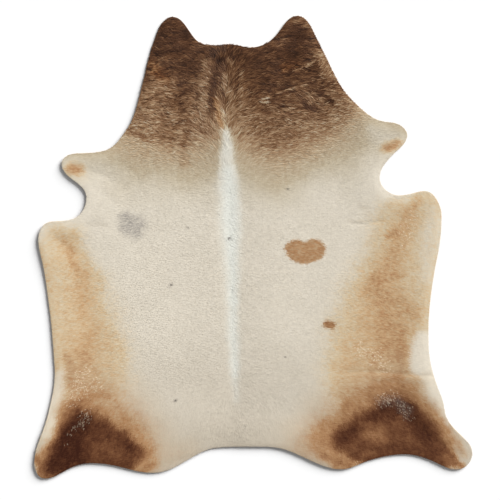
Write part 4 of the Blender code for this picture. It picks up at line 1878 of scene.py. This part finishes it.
@dataclass
class Coat:
    """The hair: tufts that overlap like shingles, in lengthwise strips from flank to flank.

    Attributes:
        edge: The hide's edge.
        relief: Its heights.
        painter: Its markings.
        pitch: Pitch of the body's tufts.
        neck_pitch: Pitch of the neck's longer tufts.
        fleck_pitch: Pitch of the light flecks.
        fleck_share: Share of them that is laid where the flecks are thickest.
        row_share: Distance of the rows of roots, as a share of the pitch.
        shake: How far a root is shaken out of its row, as a share of the pitch.
        inset: How far inside the edge the roots stay.
        overhang: How far hair may stand past the leather's edge.
        shaggy_before: How far before the neck's brown the hair starts to grow longer.
        cell_left: Where a tuft lies in its cell of the map, with the other cell sizes.
        tousle: How unevenly the hair lies.
        strips: The strips' names, from left to right.
        beyond: A place across that lies past the whole hide.
        ripple: The noise behind the ripples, swells, wrinkles and turns.
    """

    edge: HideEdge
    relief: Relief
    painter: Painter
    pitch: float = 0.0044
    neck_pitch: float = 0.0048
    fleck_pitch: float = 0.0070
    fleck_share: float = 0.75
    row_share: float = 0.93
    shake: float = 0.45
    inset: float = 0.0012
    overhang: float = 0.0018
    shaggy_before: float = 0.12
    shaggy_reach: float = 0.25
    cell_left: float = 0.12
    cell_width: float = 0.76
    cell_foot: float = 0.14
    cell_length: float = 0.74
    cell_root: float = 0.08
    root_end: float = 0.1
    trim_least: float = 0.12
    trim_steps: int = 12
    trim_slack: float = 0.95
    body: TuftSize = field(default_factory=lambda: TuftSize(0.0165, 0.0037, 0.00018, 0.0005, 0.14))
    neck: TuftSize = field(default_factory=lambda: TuftSize(0.024, 0.0040, 0.0010, 0.0022, 0.24))
    fleck: TuftSize = field(default_factory=lambda: TuftSize(0.0100, 0.0062, 0.0006, 0.0004, 0.50))
    tousle: Tousle = field(default_factory=Tousle)
    strips: tuple[str, ...] = (
        "coat_left_belly", "coat_left_flank", "coat_left_back",
        "coat_right_back", "coat_right_flank", "coat_right_belly",
    )
    beyond: float = 9.0
    random: np.random.Generator = field(default_factory=lambda: np.random.default_rng(SEED))
    ripple: Noise = field(default_factory=lambda: Noise(SEED + 3))

    def roots(self, pitch: float) -> np.ndarray:
        """Scatters places for tufts, in rows that are shifted and shaken.

        Args:
            pitch: The tufts' pitch.

        Returns:
            The places.
        """
        low, high = self.edge.loop.min(0), self.edge.loop.max(0)
        across = np.arange(low[0], high[0], pitch)
        x, y = np.meshgrid(across, np.arange(low[1], high[1], pitch * self.row_share))
        x = x + (np.arange(len(x)) % 2)[:, None] * pitch / 2
        places = np.stack([x.ravel(), y.ravel()], 1)
        places += self.random.uniform(-self.shake, self.shake, places.shape) * pitch
        return places[self.edge.inside(places[:, 0], places[:, 1]) > self.inset]

    def shagginess(self, x: np.ndarray, y: np.ndarray) -> np.ndarray:
        """0 where the coat is short and sleek and 1 where it is long, as on the neck."""
        before = y - neck_measure(x, "brown_until") + self.shaggy_before
        return ease(before / self.shaggy_reach)

    def build(self) -> list[bpy.types.Object]:
        """Lays all tufts and joins them strip by strip.

        Returns:
            The strips, from left to right.
        """
        sleek, long = self.roots(self.pitch), self.roots(self.neck_pitch)
        drawn = self.random.random(len(sleek))
        sleek = sleek[drawn >= self.shagginess(*sleek.T)]
        drawn = self.random.random(len(long))
        long = long[drawn < self.shagginess(*long.T)]
        white = self.roots(self.fleck_pitch)
        flecked = self.painter.markings.read(*white.T)[Field.FLECK]
        white = white[self.random.random(len(white)) < self.fleck_share * flecked]
        log.info("%d short tufts, %d long ones and %d flecks", len(sleek), len(long), len(white))
        blade = TuftShape(waisted=False)
        kinds = (
            (sleek, blade, self.body),
            (long, TuftShape(waisted=True), self.neck),
            (white, blade, self.fleck),
        )
        every = np.concatenate([places[:, 0] for places, _, _ in kinds])
        weight = np.concatenate([np.full(len(p), len(shape.faces)) for p, shape, _ in kinds])
        order = np.argsort(every)
        share = np.cumsum(weight[order]) / weight.sum()
        many = len(self.strips)
        cuts = [every[order][np.searchsorted(share, k / many)] for k in range(1, many)]
        bounds = [-self.beyond, *cuts, self.beyond]
        material = CoatFinish().material("coat_hair", tufted=True)
        pieces = []
        for name, left, right in zip(self.strips, bounds, bounds[1:]):
            parts = [
                (places[(places[:, 0] >= left) & (places[:, 0] < right)], shape, size)
                for places, shape, size in kinds
            ]
            pieces.append(self.strip(name, parts, material))
        return pieces

    def strip(
        self, name: str, parts: list[tuple[np.ndarray, TuftShape, TuftSize]],
        material: bpy.types.Material,
    ) -> bpy.types.Object:
        """One strip of the coat, as one joined mesh.

        Args:
            name: The strip's name.
            parts: Its roots, with each kind's shape and sizes.
            material: The hair's finish.

        Returns:
            The strip.
        """
        total = sum(len(roots) for roots, _, _ in parts)
        columns = math.ceil(math.sqrt(total))
        cell = self.cells([roots for roots, _, _ in parts], columns)
        points, corners, maps, paints, first, done = [], [], [], [], 0, 0
        for roots, shape, size in parts:
            if not len(roots):
                continue
            laid = self.lay(roots, shape, size)
            points.append(laid.points)
            offset = first + np.arange(len(roots))[:, None, None] * len(shape.along)
            corners.append((shape.faces[None] + offset).reshape(-1, 3))
            own = cell[done : done + len(roots)]
            u = self.cell_left + self.cell_width * (shape.across + 0.5)
            v = self.cell_foot + self.cell_length * shape.along
            v = v - self.cell_root * shape.up * (shape.along < self.root_end)
            flat = np.stack([own[:, :1] + u, own[:, 1:] + v], 2) / columns
            maps.append(flat[:, shape.faces].reshape(-1, 2))
            paints.append((laid, len(shape.along)))
            first += len(roots) * len(shape.along)
            done += len(roots)
        points, corners = np.concatenate(points), np.concatenate(corners)
        data = bpy.data.meshes.new(name)
        data.vertices.add(len(points))
        data.vertices.foreach_set("co", points.astype(np.float32).ravel())
        data.loops.add(corners.size)
        data.loops.foreach_set("vertex_index", corners.astype(np.int32).ravel())
        data.polygons.add(len(corners))
        data.polygons.foreach_set("loop_start", np.arange(0, corners.size, 3, dtype=np.int32))
        data.update(calc_edges=True)
        data.validate()
        data.shade_flat()
        data.materials.append(material)
        data.uv_layers.new(name="OFBake").uv.foreach_set(
            "vector", np.concatenate(maps).astype(np.float32).ravel()
        )
        whole = {
            key: np.concatenate([np.repeat(laid.fields[key], count) for laid, count in paints])
            for key in Field
        }
        root = np.concatenate([np.repeat(laid.place, count, 0) for laid, count in paints])
        tone = np.concatenate([np.repeat(laid.tone, count) for laid, count in paints])
        nick = np.concatenate([np.repeat(laid.nick, count) for laid, count in paints])
        self.painter.paint(data, root, whole, tone, nick)
        self.painter.lay_strands(data, points[:, 0], points[:, 1])
        piece = bpy.data.objects.new(name, data)
        bpy.context.scene.collection.objects.link(piece)
        return piece

    def cells(self, groups: list[np.ndarray], columns: int) -> np.ndarray:
        """Gives every tuft its own cell of the strip's map, with neighbours side by side.

        Args:
            groups: The roots of each kind of tuft.
            columns: The number of cells in a row.

        Returns:
            Each tuft's column and row, in the order of the groups.
        """
        roots = np.concatenate(groups)
        by_row = np.argsort(roots[:, 1])
        row = np.empty(len(roots), int)
        row[by_row] = np.arange(len(roots)) // columns
        order = np.lexsort((roots[:, 0], row))
        cell = np.empty((len(roots), 2))
        rank = np.empty(len(roots), int)
        rank[order] = np.arange(len(roots))
        cell[:, 0], cell[:, 1] = rank % columns, rank // columns
        return cell

    def lay(self, roots: np.ndarray, shape: TuftShape, size: TuftSize) -> LaidTufts:
        """Lays tufts of one kind on the hide.

        Args:
            roots: Their roots.
            shape: Their blade.
            size: Their sizes.

        Returns:
            The tufts, with what they are painted with.
        """
        x, y = roots.T
        count = len(roots)
        draw, loose = self.random, self.tousle
        stream, across = self.painter.lie.stream(x, y)
        waves = self.ripple.at(stream, across, *loose.waves)
        slow = self.ripple.at(stream + 5.0, across + 3.0, *loose.swells)
        dip = self.ripple.at(stream + 2.0, across + 7.0, *loose.wrinkles) / loose.wrinkle_width
        wrinkle = np.exp(-(dip**2))
        own = draw.normal(0.0, 1.0, count).clip(-2.0, 2.0)
        shaggy = self.shagginess(x, y)
        # Own lightness, plus on the neck painted light on wave crests and shade in troughs and wrinkles.
        tone = (loose.tone_own + loose.tone_shaggy * shaggy) * own + shaggy * (
            loose.wave_light_and_shade * waves + loose.tone_swells * slow - loose.wrinkle_shade * wrinkle
        )

        cross = draw.normal(0.0, loose.stray + loose.stray_sleek * (1 - shaggy), count)
        angle = self.painter.lie.heading(x + cross, y)
        angle = angle + draw.normal(0.0, size.spread, count)
        turn = loose.turn_least + loose.turn_shaggy * shaggy
        angle = angle + turn * self.ripple.at(x + 9.0, y, *loose.turns)
        length = size.length * draw.uniform(*loose.lengths, count) * (1 + loose.longer * shaggy)
        length = np.minimum(length, self.room(x, y, angle, length))
        width = size.width * draw.uniform(*loose.girths, count)
        depth = self.relief.depth(x, y)
        bed = depth * draw.uniform(*loose.beds, count) * (1 - loose.bed_sunk * shaggy)
        rise = draw.uniform(*loose.tips, count) + loose.tip_waves * waves - loose.tip_wrinkles * wrinkle
        tip = depth * (loose.tip_least + shaggy * rise)
        ridge = size.ridge * draw.uniform(*loose.girths, count)
        sway = size.sway * draw.normal(0.0, 1.0, count)

        a, c, h = shape.along[None], shape.across[None], shape.up[None]
        ahead = a * length[:, None]
        beside = c * width[:, None] + sway[:, None] * a * a
        cos, sin = np.cos(angle)[:, None], np.sin(angle)[:, None]
        px = x[:, None] + cos * ahead - sin * beside
        py = y[:, None] + sin * ahead + cos * beside
        out = np.maximum(-self.edge.inside(px, py), 0.0)
        pz = self.relief.ground(px, py) - loose.sunk + bed[:, None]
        pz = pz + h * ridge[:, None] + tip[:, None] * a**loose.tip_curve
        pz = pz - loose.droop * out
        points = np.stack([px, py, pz], 2).reshape(-1, 3)

        jitter = draw.normal(0.0, loose.blur + loose.blur_sleek * (1 - shaggy), (2, count))
        along = length * (0.5 + draw.uniform(*loose.reads, count) * (1 - 0.5 * shaggy))
        middle = x + along * np.cos(angle), y + along * np.sin(angle)
        fields = self.painter.markings.read(middle[0] + jitter[0], middle[1] + jitter[1])
        light = draw.uniform(*loose.lights, count) if size is self.fleck else np.zeros(count)
        fields[Field.FLECK] = light * (1 - loose.light_dimmed * fields[Field.RUMP])
        fields[Field.ROAN] = fields[Field.ROAN] * draw.uniform(*loose.roans, count)
        nick = self.painter.markings.nick_cover(x, y)
        place = np.stack([x, y, 0 * x], 1)
        return LaidTufts(points, place, fields, tone, nick)

    def room(
        self, x: np.ndarray, y: np.ndarray, angle: np.ndarray, length: np.ndarray,
    ) -> np.ndarray:
        """How long each tuft may be before its tip stands too far past the edge.

        Args:
            x: The roots' places across.
            y: Their places along.
            angle: The tufts' headings.
            length: The lengths that they would have.

        Returns:
            The most that each may have.
        """
        longest = length.copy()
        for share in np.linspace(1.0, self.trim_least, self.trim_steps):
            reach = length * share
            past = -self.edge.inside(x + np.cos(angle) * reach, y + np.sin(angle) * reach)
            shorter = np.minimum(longest, reach * self.trim_slack)
            longest = np.where(past > self.overhang, shorter, longest)
        return longest


@dataclass
class Studio:
    """A plain floor, a soft key light from the upper right, even fill and the camera overhead.

    The key's height, side and softness are in degrees, and the camera's sensor is in millimetres.
    """

    floor_reach: float = 12.0
    floor_drop: float = 0.0003
    camera_height: float = 12.0
    view_width: float = 2.376
    view_middle: tuple[float, float] = (-0.0158, -0.0138)
    sensor: float = 36.0
    key_power: float = 6.5
    key_height: float = 24.0
    key_side: float = 42.0
    key_softness: float = 38.0
    fill: float = 0.26

    def build(self) -> None:
        """Sets the floor, lights and camera."""
        self.lay_floor()
        self.light()
        self.place_camera()

    def lay_floor(self) -> None:
        """A flat floor just under the hide."""
        mesh = bmesh.new()
        bmesh.ops.create_grid(mesh, x_segments=4, y_segments=4, size=self.floor_reach)
        bmesh.ops.translate(mesh, verts=mesh.verts, vec=(0, 0, -self.floor_drop))
        data = bpy.data.meshes.new("studio_floor")
        mesh.to_mesh(data)
        mesh.free()
        data.materials.append(FloorFinish().material())
        floor = bpy.data.objects.new("studio_floor", data)
        bpy.context.scene.collection.objects.link(floor)
        floor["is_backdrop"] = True

    def light(self) -> None:
        """A low wide key from the upper right, and even light from everywhere."""
        key = bpy.data.lights.new("key", "SUN")
        key.energy = self.key_power
        key.angle = math.radians(self.key_softness)
        lamp = bpy.data.objects.new("key", key)
        high, side = math.radians(self.key_height), math.radians(self.key_side)
        flat = math.cos(high)
        towards = Vector((flat * math.cos(side), flat * math.sin(side), math.sin(high)))
        lamp.rotation_euler = towards.to_track_quat("Z", "Y").to_euler()
        lamp.location = towards * 6
        bpy.context.scene.collection.objects.link(lamp)
        world = bpy.data.worlds.new("studio")
        world.use_nodes = True
        background = world.node_tree.nodes["Background"]
        background.inputs["Color"].default_value = (1.0, 1.0, 1.0, 1.0)
        background.inputs["Strength"].default_value = self.fill
        bpy.context.scene.world = world
        bpy.context.scene.view_settings.view_transform = "Standard"

    def place_camera(self) -> None:
        """A long lens straight above the hide."""
        lens = bpy.data.cameras.new("overhead")
        lens.sensor_width = self.sensor
        lens.lens = self.sensor * self.camera_height / self.view_width
        lens.clip_end = 100.0
        camera = bpy.data.objects.new("overhead", lens)
        camera.location = (*self.view_middle, self.camera_height)
        bpy.context.scene.collection.objects.link(camera)
        bpy.context.scene.camera = camera


def main(frame: dict, box: object) -> None:
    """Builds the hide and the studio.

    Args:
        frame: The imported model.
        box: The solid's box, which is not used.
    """
    logging.basicConfig(level=logging.INFO, format="%(name)s: %(message)s")
    edge = HideEdge(frame["nodes"]["cowhide"])
    log.info("edge: %d points", len(edge.loop))
    lie, relief = HairLie(), Relief(edge)
    painter = Painter(Markings(), lie)
    skin = Skin(edge, relief, painter).build()
    log.info("skin: %d faces", len(skin.data.polygons))
    strips = Coat(edge, relief, painter).build()
    for strip in strips:
        log.info("%s: %d triangles", strip.name, len(strip.data.polygons))
    for piece in (skin, *strips):
        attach(piece, "root")
    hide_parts("cowhide")
    Studio().build()


if __name__ == "__main__":
    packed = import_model()
    main(packed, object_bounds())
